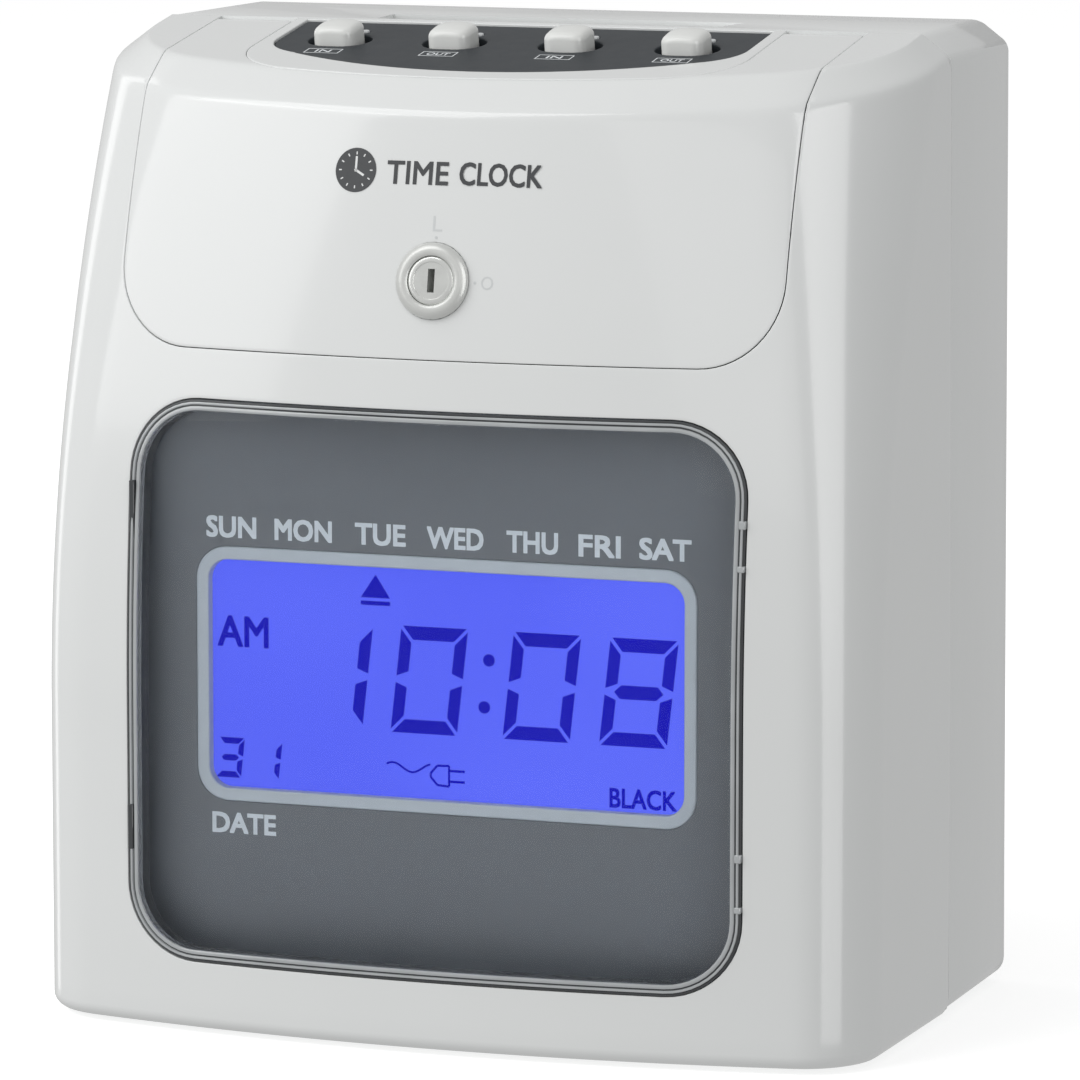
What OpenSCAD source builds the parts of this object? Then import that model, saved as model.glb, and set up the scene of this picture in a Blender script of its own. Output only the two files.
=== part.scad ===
// Punch time clock: a desktop or wall clock that prints the time on a card dropped in from the top.
// Origin: middle of the footprint, on the surface that the feet stand on. +Z up, front towards -Y.

/* [Housing] */
// Overall height, feet included
case_h = 240; // [236:0.5:246]
// Half of the width at the bottom of the parting line
half_w = 106; // [104:0.5:110]
// Depth of the rear body, from the parting line to the wall side
rear_d = 53; // [51:0.5:58]
// How far the front shell stands forward of the parting line at the bottom
front_d = 82; // [80:0.5:86]
// Wall thickness of the moulded housing
wall = 2.5; // [2:0.1:3]
// Width of the visible gaps between moulded covers
gap = 0.4; // [0.3:0.05:0.6]
// How far the upper front leans back at the crease
lean = 17.4; // [15:0.2:19]

/* [Top lid] */
// Half of the width of the lockable lid
lid_half_w = 84; // [82:0.5:86]
// Height of the lid's lower edge
lid_z = 165.7; // [163:0.5:168]
// Half of the width of the fixed button island between the lid's arms
island_half_w = 63.6; // [62:0.2:65]

/* [Buttons] */
// Distance between neighbouring buttons
button_pitch = 29.8; // [28:0.2:31]
// Width of a button cap
button_w = 12; // [11:0.5:13]
// Depth of a button cap, front to back
button_d = 9.5; // [8.5:0.5:10.5]
// How far a button goes down when pressed
button_travel = 1.5; // [1:0.1:1.8]

/* [Display] */
// Half of the width of the clear window
window_half_w = 78.3; // [76:0.5:79]
// Height of the window's lower edge
window_z0 = 17.8; // [16:0.5:20]
// Height of the window's upper edge
window_z1 = 154; // [150:0.5:155]
// Corner radius of the window
window_r = 18.5; // [14:0.5:22]
// Half of the width of the lit screen
screen_half_w = 60.5; // [56:0.5:64]
// Height of the screen's lower edge
screen_z0 = 58.7; // [55:0.5:62]
// Height of the screen's upper edge
screen_z1 = 114.3; // [110:0.5:118]

/* [Card path] */
// Width of the slot, for a card 85.7 wide
slot_w = 88.6; // [87:0.2:92]
// Distance of the card's plane behind the parting line
card_back = 8; // [7.5:0.1:8.5]
// Clear gap between the two card guides
chute_gap = 5; // [4.6:0.1:5.4]

/* [Print works] */
// Height of the feed roller shaft
feed_z = 135; // [130:1:140]
// Height of the row of printing pins
print_z = 183; // [182:0.5:184]
// Sideways travel of the print head
head_travel = 50; // [40:1:52]

/* [Hidden] */
$fn = 48;

// Front shell: crease heights, slopes and the arcs of its plan
base_z = 1.2;
top_slope = 0.169;
top_tilt = atan(top_slope);
chamfer_w = 7.6;
chamfer_h = 5.6;
lens_proud = 0.5;
seam_y = (front_d + lens_proud - rear_d) / 2;
crease_w = half_w - 1.1;
crease_f = front_d - lean;
crease_z = case_h - chamfer_h - top_slope * crease_f;
upright_z = 80;
bow_low = 450;
bow_high = 228;
corner_low = 20;
corner_high = 46;
edge_r = 3.3;
corner_steps = 6;
bow_steps = 5;
slab = 0.01;

// Hinge of the lid
hinge_r = 3.3;
hinge_f = hinge_r + 0.35;
hinge_z = case_h - top_slope * hinge_f - hinge_r;
pin_r = 1.25;
knuckle_x0 = island_half_w + 0.7;
knuckle_x1 = lid_half_w - 0.3;

// Lock
lock_z = 184.3;
lock_f = front_f(lock_z);
lock_tilt = atan(2 * lean * (lock_z - upright_z) / pow(crease_z - upright_z, 2));
plug_r = 5.82;
barrel_r = 7.9;
ring_r = 9.1;
cam_back = 17;

// Buttons and their panel, in the panel's own tilted frame
button_f = 19.5;
panel_sunk = 0.5;
panel_t = 1.4;
well_w = 16;
well_d = 12.5;
well_depth = 4.6;
board_drop = 13.6;
led_shift = 1.8;

// Display stack, measured forward of the parting line
mask_f = 65.5;
mask_t = 1.2;
glass_t = 2.6;
frame_w = 3.2;

// Card path and print works
chute_half_w = 58;
chute_low = 30;
chute_top = 222;
feed_f = 0.4;
roller_r = 8;
idler_r = 5.3;
idler_shaft_r = 1.75;
idler_f = -card_back - 0.4 - idler_r;
shaft_r = 3;
bush_r = 4.6;
gear_module = 0.8;
gear_teeth = 36;
pinion_teeth = 12;
mesh_play = 0.15;
gear_gap = gear_module * (gear_teeth + pinion_teeth) / 2 + mesh_play;
motor_drop = 30;
motor_f = feed_f + gear_gap * cos(motor_drop);
motor_z = feed_z - gear_gap * sin(motor_drop);
rod_f = 18;
screw_f = 5;
rod_z = print_z - 15;
head_x = -head_travel / 2;
plate_t = 1.5;
floor_z = base_z + wall;
cheek_z = floor_z + plate_t;
screw_spots = [for (x = [-99, 99]) for (z = [24, 204]) [x, z]];
board_back = 48.6;
board_spots = [for (x = [-86, 40]) for (z = [76, 182]) [x, z]];
keyhole_x = 70;
keyhole_z = 196;
jack_x = -80;
jack_z = 24;

// How far the housing's front leans back at height z, as a share of the full lean
function lean_share(z) = pow(max(0, z - upright_z) / (crease_z - upright_z), 2);

// Distance of the front, at the middle, forward of the parting line
function front_f(z) = front_d - lean * lean_share(z);

function mix(a, b, t) = a + (b - a) * t;

// Half outline seen from above: straight side, corner arc and bowed front that meet smoothly
function half_plan(w, f, bow, corner, back) =
    let (cx = w - corner)
    let (cy = f - bow + sqrt(pow(bow - corner, 2) - pow(cx, 2)))
    let (turn = atan2(cy - f + bow, cx))
    concat(
        [[w, back]],
        [for (i = [0:corner_steps])
            let (a = turn * i / corner_steps)
            [cx + corner * cos(a), cy + corner * sin(a)]],
        [for (i = [1:bow_steps])
            let (a = mix(turn, 90, i / bow_steps))
            [bow * cos(a), f - bow + bow * sin(a)]]
    );

function with_mirror(half) =
    concat(half, [for (i = [len(half) - 2:-1:0]) [-half[i][0], half[i][1]]]);

// Whole outline in model coordinates, where forward is -Y
function plan(w, f, bow, corner, back) =
    [for (p = with_mirror(half_plan(w, f, bow, corner, back))) [p[0], seam_y - p[1]]];

module plan_slab(w, f, bow, corner, back, z, slope = 0) {
    multmatrix([[1, 0, 0, 0], [0, 1, 0, 0], [0, slope, 1, z - slope * seam_y]])
        linear_extrude(slab) polygon(plan(w, f, bow, corner, back));
}

module level(z, inset, back) {
    share = lean_share(z);
    plan_slab(
        mix(half_w, crease_w, max(0, z - upright_z) / (crease_z - upright_z)) - inset,
        front_f(z) - inset,
        mix(bow_low, bow_high, share) - inset, mix(corner_low, corner_high, share) - inset,
        back, z
    );
}

// Solid form of the front half of the housing, made smaller all round by inset
module front_form(inset, back) {
    low = base_z + max(0, inset);
    hull() {
        level(low, inset + edge_r, back);
        level(low + 1, inset + edge_r * 0.28, back);
        translate([0, 0, low + edge_r])
            linear_extrude(upright_z - low - edge_r)
                polygon(plan(half_w - inset, front_d - inset, bow_low - inset, corner_low - inset, back));
        for (z = [112, 136, 156, 174, 191, 207]) {
            level(z, inset, back);
        }
        plan_slab(
            crease_w - inset, crease_f - inset, bow_high - inset, corner_high - inset,
            back, case_h - chamfer_h - inset * 0.3, top_slope
        );
        plan_slab(
            crease_w - chamfer_w - inset * 0.4, crease_f - 10 - inset * 0.4, 222 - inset, 36 - inset,
            back, case_h - slab - inset, top_slope
        );
    }
}

// Corners of a rounded rectangle, as short straight steps that a curved shell cuts cleanly
function rounded_points(x1, z0, z1, r) = [
    for (c = [[1, 1, 0], [-1, 1, 90], [-1, 0, 180], [1, 0, 270]])
        for (i = [0:corner_steps])
            let (a = c[2] + 90 * i / corner_steps)
            [c[0] * (x1 - r) + r * cos(a), (c[1] == 1 ? z1 - r : z0 + r) + r * sin(a)]
];

// Upright rounded rectangle pushed from front to back, between two distances forward of the seam
module rounded_window(x1, z0, z1, r, f0, f1) {
    translate([0, seam_y - f0, 0])
        rotate([90, 0, 0])
            linear_extrude(f1 - f0)
                polygon(rounded_points(x1, z0, z1, r));
}

// Block between two heights and two distances forward of the parting line
module block(x0, x1, f0, f1, z0, z1) {
    translate([x0, seam_y - f1, z0])
        cube([x1 - x0, f1 - f0, z1 - z0]);
}

// Rod along X
module rod(x0, x1, f, z, r) {
    translate([x0, seam_y - f, z])
        rotate([0, 90, 0])
            cylinder(h = x1 - x0, r = r);
}

// Rod along Y, from f0 forward to f1
module bolt(x, z, f0, f1, r) {
    translate([x, seam_y - f0, z])
        rotate([90, 0, 0])
            cylinder(h = f1 - f0, r = r);
}

// Opening that the lid fills, seen from the front and pushed right through the upper front
module lid_region(play) {
    rounded_window(lid_half_w + play, lid_z - play, case_h + 30, 19, -1, front_d + 20);
}

// Column over the button island, seen from above
module island_column(play) {
    translate([0, 0, lid_z])
        linear_extrude(case_h)
            polygon(plan(island_half_w + play, crease_f - 10.2 + play, 222 + play, 21 + play, -2));
}

module at_panel() {
    translate([0, seam_y, case_h])
        rotate([top_tilt, 0, 0])
            children();
}

module at_lock() {
    translate([0, seam_y - lock_f, lock_z])
        rotate([90 - lock_tilt, 0, 0])
            children();
}

function rear_profile(low_w, high_w, inset) = concat(
    [for (i = [0:5])
        let (a = -90 + i * 18)
        [low_w - 5 + (5 - inset) * cos(a), base_z + 5 + (5 - inset) * sin(a)]],
    [[high_w - inset, case_h - chamfer_h - inset * 0.4],
     [high_w - chamfer_w - inset * 0.5, case_h - inset]]
);

module rear_slab(low_w, high_w, inset, f) {
    half = rear_profile(low_w, high_w, inset);
    whole = concat(half, [for (i = [len(half) - 1:-1:0]) [-half[i][0], half[i][1]]]);
    translate([0, seam_y - f, 0])
        rotate([90, 0, 0])
            linear_extrude(slab) polygon(whole);
}

module rear_form(inset, f0, f1) {
    hull() {
        rear_slab(half_w, crease_w, inset, f1 - slab);
        rear_slab(half_w - 1.4, crease_w - 1.3, inset, f0 + 1.5);
        rear_slab(half_w - 2.9, crease_w - 2.8, inset + 1.2, f0);
    }
}

// Slot seen from above, wider towards the back
module slot_cut() {
    front = slot_w / 2;
    back = front + 1.6;
    translate([0, seam_y, case_h - 10])
        linear_extrude(20)
            polygon([[-front, 4.4], [front, 4.4], [back, 19.6], [-back, 19.6]]);
}

module rear_body() color("whitesmoke") difference() {
    union() {
        difference() {
            rear_form(0, -rear_d, 0);
            rear_form(wall, -rear_d + wall, 1);
        }
        for (s = screw_spots) {
            bolt(s[0], s[1], -rear_d + 1, -0.3, 5);
        }
        for (s = board_spots) {
            bolt(s[0], s[1], -rear_d + 1, -board_back, 3);
        }
    }
    slot_cut();
    for (s = screw_spots) {
        bolt(s[0], s[1], -rear_d - 1, 1, 2);
        bolt(s[0], s[1], -rear_d - 1, -rear_d + 3, 4);
    }
    for (x = [-keyhole_x, keyhole_x]) {
        bolt(x, keyhole_z, -rear_d - 1, -rear_d + wall + 1, 4.6);
        block(x - 2.3, x + 2.3, -rear_d - 1, -rear_d + wall + 1, keyhole_z, keyhole_z + 9);
        bolt(x, keyhole_z + 9, -rear_d - 1, -rear_d + wall + 1, 2.3);
    }
    block(jack_x - 7, jack_x + 7, -rear_d - 1, -rear_d + wall + 1, jack_z - 5.5, jack_z + 5.5);
    for (x = [-84, 84]) {
        translate([x, seam_y + 41, -1])
            cylinder(h = 3.5, r = 7.2);
    }
    for (x = [-40:8:40]) {
        block(x, x + 3, -rear_d - 1, -rear_d + wall + 1, 36, 62);
    }
}

module front_cover() color("whitesmoke") difference() {
    union() {
        difference() {
            front_form(0, gap);
            front_form(wall, -1);
        }
        for (s = screw_spots) {
            bolt(s[0], s[1], gap, 20, 5);
        }
        for (side = [-1, 1]) {
            translate([side * (lid_half_w + gap + 2), 0, 0])
                block(-2, 2, hinge_f - 2.5, hinge_f + 2.5, hinge_z - 4, case_h - 2);
        }
    }
    rounded_window(window_half_w, window_z0, window_z1, window_r, 50, front_d + 20);
    lid_region(0);
    for (s = screw_spots) {
        bolt(s[0], s[1], -1, 16, 1.72);
    }
    rod(-95, 95, hinge_f, hinge_z, pin_r + 0.02);
    for (x = [-80, 80]) {
        translate([x, seam_y - 52, -1])
            cylinder(h = 3.5, r = 7.2);
    }
}

module top_lid() color("white") difference() {
    union() {
        intersection() {
            difference() {
                front_form(0, hinge_f);
                front_form(wall, -1);
            }
            lid_region(-gap);
        }
        rod(-knuckle_x1, knuckle_x1, hinge_f, hinge_z, hinge_r);
    }
    island_column(gap);
    block(-knuckle_x0, knuckle_x0, -2, 30, case_h - 20, case_h + 1);
    rod(-95, 95, hinge_f, hinge_z, pin_r + 0.07);
    at_lock()
        translate([0, 0, -10])
            cylinder(h = 20, r = barrel_r + 0.05);
}

module button_bezel() color("white") difference() {
    union() {
        intersection() {
            difference() {
                front_form(0, gap);
                front_form(wall, -1);
            }
            island_column(0);
        }
        for (side = [-1, 1]) {
            translate([side * (island_half_w - 2), 0, 0])
                block(-2, 2, hinge_f - 2.5, hinge_f + 2.5, hinge_z - 4, case_h - 2);
        }
    }
    panel_pocket(0.1, panel_sunk + panel_t, 4);
    panel_pocket(-1.5, 6, 4);
    rod(-95, 95, hinge_f, hinge_z, pin_r + 0.02);
}

// Column with the outline of the dark panel, from drop below the top surface to rise above it
module panel_pocket(play, drop, rise) {
    at_panel()
        translate([0, -seam_y, -drop])
            linear_extrude(drop + rise)
                polygon(plan(60.3 + play, 48.5 + play, 100 + play, 14 + play, 1.6 - play));
}

// A flat oval standing in the panel's frame
module oval(w, d, z0, z1) {
    r = d / 2;
    translate([0, -button_f, z0])
        linear_extrude(z1 - z0) union() {
            square([w - d, d], center = true);
            for (side = [-1, 1]) {
                translate([side * (w - d) / 2, 0])
                    circle(r);
            }
        }
}

module button_panel() color("dimgray") difference() {
    union() {
        difference() {
            panel_pocket(0, panel_sunk + panel_t, 4);
            panel_pocket(3, -panel_sunk, 6);
        }
        at_panel()
            for (i = [-1.5:1.5]) {
                translate([i * button_pitch, 0, 0])
                    oval(well_w + 2, well_d + 2, -well_depth - 1, -panel_sunk - panel_t);
            }
    }
    at_panel()
        for (i = [-1.5:1.5]) {
            translate([i * button_pitch, 0, 0])
                oval(well_w, well_d, -well_depth, 5);
            translate([i * button_pitch - 4, -button_f - 3, -10])
                cube([8, 6, 20]);
            translate([i * button_pitch + led_shift, -button_f + 8.6, -10])
                cylinder(h = 20, r = 1.2);
        }
}

module hinge_pins() color("silver") {
    for (side = [-1, 1]) {
        translate([side * (island_half_w + lid_half_w) / 2, 0, 0])
            rod(-13, 13, hinge_f, hinge_z, pin_r);
    }
}

module button(i) color("ivory")
    at_panel()
        translate([(i - 1.5) * button_pitch, -button_f, 0]) {
            r = 2.6;
            cap_low = -well_depth + button_travel + 0.4;
            translate([0, 0, cap_low])
                linear_extrude(2.6 - cap_low) union() {
                    square([button_w - 2 * r, button_d], center = true);
                    square([button_w, button_d - 2 * r], center = true);
                    for (x = [-1, 1]) {
                        for (y = [-1, 1]) {
                            translate([x * (button_w / 2 - r), y * (button_d / 2 - r)])
                                circle(r);
                        }
                    }
                }
            translate([0, 0, 2.6])
                linear_extrude(0.5)
                    square([button_w - 2 * r, button_d - 2 * r], center = true);
            translate([-3.5, -2.5, -8])
                cube([7, 5, cap_low + 8]);
        }

module led_lenses() color("lightgray")
    at_panel()
        for (i = [-1.5:1.5]) {
            translate([i * button_pitch + led_shift, -button_f + 8.6, 0]) {
                translate([0, 0, -board_drop])
                    cylinder(h = board_drop - 0.1, r = 1.1);
                translate([0, 0, -board_drop])
                    cylinder(h = 1, r = 1.5);
            }
        }

module key_switches() color("black")
    at_panel()
        for (i = [-1.5:1.5]) {
            translate([i * button_pitch - 3, -button_f - 3, -board_drop])
                cube([6, 6, 3]);
            translate([i * button_pitch, -button_f, -board_drop + 3])
                cylinder(h = 0.5, r = 1.7);
        }

module button_board() color("seagreen")
    at_panel()
        translate([-57, -40, -board_drop - 1.6])
            cube([114, 34, 1.6]);

module display_lens() color("gainsboro", 0.4) intersection() {
    difference() {
        front_form(-lens_proud, gap);
        front_form(3, -1);
    }
    rounded_window(
        window_half_w - 0.2, window_z0 + 0.2, window_z1 - 0.2, window_r - 0.2,
        50, front_d + 20
    );
}

module display_mask() color("slategray") difference() {
    block(-80, 80, mask_f - mask_t, mask_f, 15, 155.8);
    rounded_window(screen_half_w + frame_w, screen_z0 - frame_w, screen_z1 + frame_w, 8, 50, 80);
}

module screen_frame() color("lightsteelblue") difference() {
    rounded_window(
        screen_half_w + frame_w, screen_z0 - frame_w, screen_z1 + frame_w, 8,
        mask_f - mask_t - 1, mask_f + 0.3
    );
    rounded_window(screen_half_w, screen_z0, screen_z1, 5, 50, 80);
}

module screen_glass() color("slateblue")
    block(
        -screen_half_w - 2, screen_half_w + 2, mask_f - mask_t - 1 - glass_t, mask_f - mask_t - 1,
        screen_z0 - 2, screen_z1 + 2
    );

module backlight() color("aliceblue")
    block(
        -screen_half_w, screen_half_w, mask_f - mask_t - 5.6 - glass_t, mask_f - mask_t - 1 - glass_t,
        screen_z0, screen_z1
    );

module display_board() color("seagreen") {
    face = mask_f - mask_t - 5.6 - glass_t;
    block(-70, 70, face - 1.6, face, 44, 130);
    for (x = [-62, 62]) {
        for (z = [48, 126]) {
            bolt(x, z, face, mask_f - mask_t, 3);
        }
    }
}

module lock_barrel() color("silver")
    at_lock() difference() {
        union() {
            translate([0, 0, -cam_back + 1])
                cylinder(h = cam_back - 0.8, r = barrel_r);
            rotate_extrude()
                polygon([[5, 0.2], [ring_r, 0.2], [ring_r, 0.8], [8.6, 1.5], [7.6, 1.9], [5, 1.9]]);
        }
        translate([0, 0, -cam_back - 1])
            cylinder(h = cam_back + 5, r = plug_r + 0.06);
    }

module lock_nut() color("gray")
    at_lock() difference() {
        translate([0, 0, -6.8])
            cylinder(h = 4, r = 12, $fn = 6);
        translate([0, 0, -8])
            cylinder(h = 6, r = barrel_r + 0.02);
    }

module lock_plug() color("silver")
    at_lock() difference() {
        translate([0, 0, -cam_back])
            cylinder(h = cam_back + 1.5, r = plug_r);
        translate([-1, -2.9, -8])
            cube([2, 5.8, 12]);
    }

module lock_cam() color("gray")
    at_lock() difference() {
        union() {
            translate([-6, -14, -cam_back - 2])
                cube([12, 14, 2]);
            for (y = [-14, 0]) {
                translate([0, y, -cam_back - 2])
                    cylinder(h = 2, r = 6);
            }
            translate([0, 0, -cam_back - 4])
                cylinder(h = 2, r = 3.2);
        }
        translate([-1, -0.3, -cam_back - 5])
            cube([2, 0.6, 1.6]);
    }

module lock_strike() color("silver") {
    block(-12, 12, 51.5, 71.8, 156.4, 157.9);
    block(-12, 12, 50, 51.5, 156.4, 164);
    block(-12, 12, 71.8, 73.3, 156.4, 163);
}

module card_throat() color("whitesmoke") {
    half = slot_w / 2;
    difference() {
        block(-half - 6, half + 6, -24, -3, chute_top, case_h - wall - 0.1);
        translate([-half - 0.8, seam_y, 0])
            rotate([90, 0, 90])
                linear_extrude(slot_w + 1.6)
                    polygon([
                        [4.4, case_h], [19.6, case_h], [19.6, case_h - 3],
                        [card_back + chute_gap / 2, chute_top + 3],
                        [card_back + chute_gap / 2, chute_top - 1],
                        [card_back - chute_gap / 2, chute_top - 1],
                        [card_back - chute_gap / 2, chute_top + 3],
                        [4.4, case_h - 8]
                    ]);
    }
}

module chute_front() color("silver") {
    face = -card_back + chute_gap / 2;
    difference() {
        block(-chute_half_w, chute_half_w, face, face + 1, chute_low, print_z - 11);
        for (x = [-25, 25]) {
            block(x - 8, x + 8, face - 1, face + 2, feed_z - 9.5, feed_z + 9.5);
        }
    }
    block(-chute_half_w, chute_half_w, face, face + 1, print_z + 11, chute_top);
}

module chute_back() color("silver") {
    face = -card_back - chute_gap / 2;
    difference() {
        block(-chute_half_w, chute_half_w, face - 1, face, chute_low, print_z - 8);
        for (x = [-25, 25]) {
            block(x - 8, x + 8, face - 2, face + 1, feed_z - 7, feed_z + 7);
        }
    }
    block(-chute_half_w, chute_half_w, face - 1, face, print_z + 8, chute_top);
}

module card_stop() color("dimgray")
    block(-chute_half_w, chute_half_w, -card_back - 4, -card_back + 4, chute_low - 5, chute_low);

module card_sensor() color("black")
    for (x = [-38, 38]) {
        block(x - 4, x + 4, -card_back + chute_gap / 2 + 1, -card_back + chute_gap / 2 + 7, 92, 102);
    }

module platen() color("gray")
    block(-chute_half_w, chute_half_w, -card_back - 7, -card_back - 0.8, print_z - 7, print_z + 7);

// One cheek of the print works: a folded sheet with the holes for every shaft
module side_plate(side) color("silver") difference() {
    union() {
        translate([side * (chute_half_w + plate_t / 2), 0, 0])
            block(-plate_t / 2, plate_t / 2, -22, 47, cheek_z, 196);
        translate([side * (chute_half_w + 6), 0, 0])
            block(-6, 6, -22, 47, cheek_z, cheek_z + plate_t);
    }
    rod(-70, 70, feed_f, feed_z, bush_r + 0.02);
    rod(-70, 70, idler_f, feed_z, idler_shaft_r + 0.08);
    rod(-70, 70, rod_f, rod_z, shaft_r + 0.02);
    rod(-70, 70, screw_f, rod_z, bush_r + 0.02);
    rod(-70, 70, motor_f, motor_z, 3.5);
    for (z = [40, 80]) {
        rod(-70, 70, 20, z, 11);
    }
}

module cross_bars() color("silver")
    for (spot = [[40, 60], [-17, 60], [40, 120]]) {
        rod(-chute_half_w, chute_half_w, spot[0], spot[1], 3);
    }

module base_plate() color("silver")
    block(-88, 88, -49, 52, floor_z, floor_z + plate_t);

module shaft_bushes() color("goldenrod") difference() {
    for (side = [-1, 1]) {
        for (f = [feed_f, screw_f]) {
            z = f == feed_f ? feed_z : rod_z;
            translate([side * (chute_half_w + plate_t / 2), 0, 0]) {
                rod(-2, 2, f, z, bush_r);
                translate([side * 1.6, 0, 0])
                    rod(-0.8, 0.8, f, z, bush_r + 1);
            }
        }
    }
    rod(-70, 70, feed_f, feed_z, shaft_r + 0.06);
    rod(-70, 70, screw_f, rod_z, shaft_r + 0.06);
}

module feed_shaft() color("silver")
    rod(-64, 70, feed_f, feed_z, shaft_r);

module feed_rollers() color("dimgray") difference() {
    for (x = [-25, 25]) {
        rod(x - 6, x + 6, feed_f, feed_z, roller_r);
    }
    rod(-70, 70, feed_f, feed_z, shaft_r);
}

// Flank of an involute tooth: distance from the middle against angle from the tooth's centre line
function flank(base, r, half) =
    let (press = acos(base / r))
    half - (tan(press) * 180 / PI - press);

function gear_points(teeth, m) =
    let (pitch = teeth * m / 2)
    let (base = pitch * cos(20))
    let (root = pitch - 1.2 * m)
    let (tip = pitch + 0.85 * m)
    let (low = max(base + 0.01, root + 0.1))
    let (play = 0.08 / pitch * 180 / PI)
    let (half = 90 / teeth - play + tan(20) * 180 / PI - 20)
    [for (i = [0:teeth - 1])
        let (mid = i * 360 / teeth)
        each [for (s = [
            [root, -flank(base, low, half) - 0.5], [low, -flank(base, low, half)],
            [pitch, -flank(base, pitch, half)], [tip, -flank(base, tip, half)],
            [tip, flank(base, tip, half)], [pitch, flank(base, pitch, half)],
            [low, flank(base, low, half)], [root, flank(base, low, half) + 0.5]
        ]) [s[0] * cos(mid + s[1]), s[0] * sin(mid + s[1])]]];

// Gear on a shaft along X, turned so that one tooth or gap faces the other gear
module gear(teeth, x0, x1, f, z, turn, bore) {
    translate([x0, seam_y - f, z])
        rotate([90, 0, 90]) difference() {
            linear_extrude(x1 - x0)
                rotate(turn)
                    polygon(gear_points(teeth, gear_module));
            translate([0, 0, -1])
                cylinder(h = x1 - x0 + 2, r = bore);
        }
}

module feed_gear() color("ivory")
    gear(gear_teeth, 62, 68, feed_f, feed_z, 180 + motor_drop, shaft_r);

module motor_pinion() color("goldenrod") {
    gear(pinion_teeth, 62, 68, motor_f, motor_z, motor_drop + 180 / pinion_teeth, 1.2);
    rod(58, 68, motor_f, motor_z, 1.2);
}

module idler_shaft() color("silver")
    rod(-60, 60, idler_f, feed_z, idler_shaft_r);

module idler_rollers() color("ivory") difference() {
    for (x = [-25, 25]) {
        rod(x - 6, x + 6, idler_f, feed_z, idler_r);
    }
    rod(-70, 70, idler_f, feed_z, idler_shaft_r);
}

module feed_motor() color("silver") difference() {
    union() {
        rod(34, chute_half_w, motor_f, motor_z, 10);
        rod(31, 34, motor_f, motor_z, 4);
    }
    rod(57, 60, motor_f, motor_z, 3);
}

module guide_rod() color("silver")
    rod(-chute_half_w - plate_t, chute_half_w + plate_t, rod_f, rod_z, shaft_r);

module carriage_screw() color("silver")
    rod(-70, 62, screw_f, rod_z, shaft_r);

module carriage_motor() color("dimgray") difference() {
    union() {
        rod(-84, -64, screw_f, rod_z, 11);
        rod(-64, -62.6, screw_f, rod_z, 14);
        block(-62.6, -chute_half_w - plate_t, screw_f - 12, screw_f - 8, rod_z - 8, rod_z + 8);
        block(-62.6, -chute_half_w - plate_t, screw_f + 8, screw_f + 12, rod_z - 8, rod_z + 8);
    }
    rod(-72, -60, screw_f, rod_z, shaft_r + 0.08);
}

module head_carriage() color("dimgray") difference() {
    union() {
        block(head_x - 14, head_x + 14, -1, 25, rod_z - 7, rod_z + 7);
        for (x = [head_x - 13, head_x + 10]) {
            block(x, x + 3, -1, 25, rod_z + 7, rod_z + 14);
        }
    }
    rod(head_x - 20, head_x + 20, rod_f, rod_z, shaft_r + 0.08);
    rod(head_x - 20, head_x + 20, screw_f, rod_z, shaft_r + 0.08);
}

module print_head() color("black") {
    block(head_x - 9.5, head_x + 9.5, 0, 24, rod_z + 7, rod_z + 24);
    block(head_x - 5, head_x + 5, -card_back + 1.3, 0, print_z - 4, print_z + 4);
    for (f = [2:4:22]) {
        block(head_x - 9.5, head_x + 9.5, f, f + 1.4, rod_z + 24, rod_z + 29);
    }
}

module ribbon_cartridge() color("dimgray") difference() {
    union() {
        block(-53, 53, 27, 46, print_z - 7, print_z + 7);
        for (x = [-53, 47]) {
            block(x, x + 6, -card_back + 0.4, 28, print_z - 7, print_z + 7);
        }
        for (x = [-57.9, 52]) {
            block(x, x + 5.9, 32, 40, print_z - 5, print_z - 2);
        }
    }
    for (x = [-54, 46]) {
        block(x, x + 8, -card_back + 0.6, -card_back + 1.2, print_z - 4.5, print_z + 4.5);
    }
    translate([30, seam_y - 36.5, print_z - 1])
        cylinder(h = 20, r = 2.6);
}

module ribbon_strip() color("midnightblue")
    block(-47, 47, -card_back + 0.75, -card_back + 0.95, print_z - 4, print_z + 4);

module ribbon_knob() color("lightgray")
    translate([30, seam_y - 36.5, print_z]) {
        translate([0, 0, 7.4])
            cylinder(h = 6, r = 8);
        cylinder(h = 8, r = 2.52);
        translate([-7, -1, 13.4])
            cube([14, 2, 2]);
    }

module main_board() color("seagreen") difference() {
    block(-92, 46, -board_back, -47, 70, 188);
    for (s = board_spots) {
        bolt(s[0], s[1], -50, -45, 1.6);
    }
}

module board_parts() color("black") {
    block(-60, -30, -47, -43.6, 100, 130);
    block(-10, 8, -47, -44, 90, 108);
    block(20, 34, -47, -40, 150, 176);
    block(-80, -50, -47, -39, 160, 168);
    for (x = [-20, -6, 8]) {
        translate([x, seam_y + 47, 150])
            rotate([90, 0, 0])
                cylinder(h = 13, r = 5);
    }
    for (x = [-80, -72]) {
        bolt(x, 140, -47, -36, 3.2);
    }
}

module transformer_core() color("dimgray") difference() {
    block(50, 84, -48, -24, cheek_z, cheek_z + 42);
    for (x = [56, 73]) {
        block(x, x + 5, -50, -20, cheek_z + 8, cheek_z + 34);
    }
}

module transformer_coil() color("goldenrod") difference() {
    block(56.2, 77.8, -49.5, -22.5, cheek_z + 8.3, cheek_z + 33.7);
    block(61, 73, -48, -24, cheek_z + 7, cheek_z + 35);
}

module backup_battery() color("steelblue")
    for (i = [0:2]) {
        translate([-66 + i * 14.6, seam_y + 35, cheek_z])
            cylinder(h = 44, r = 7.1);
    }

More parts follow.
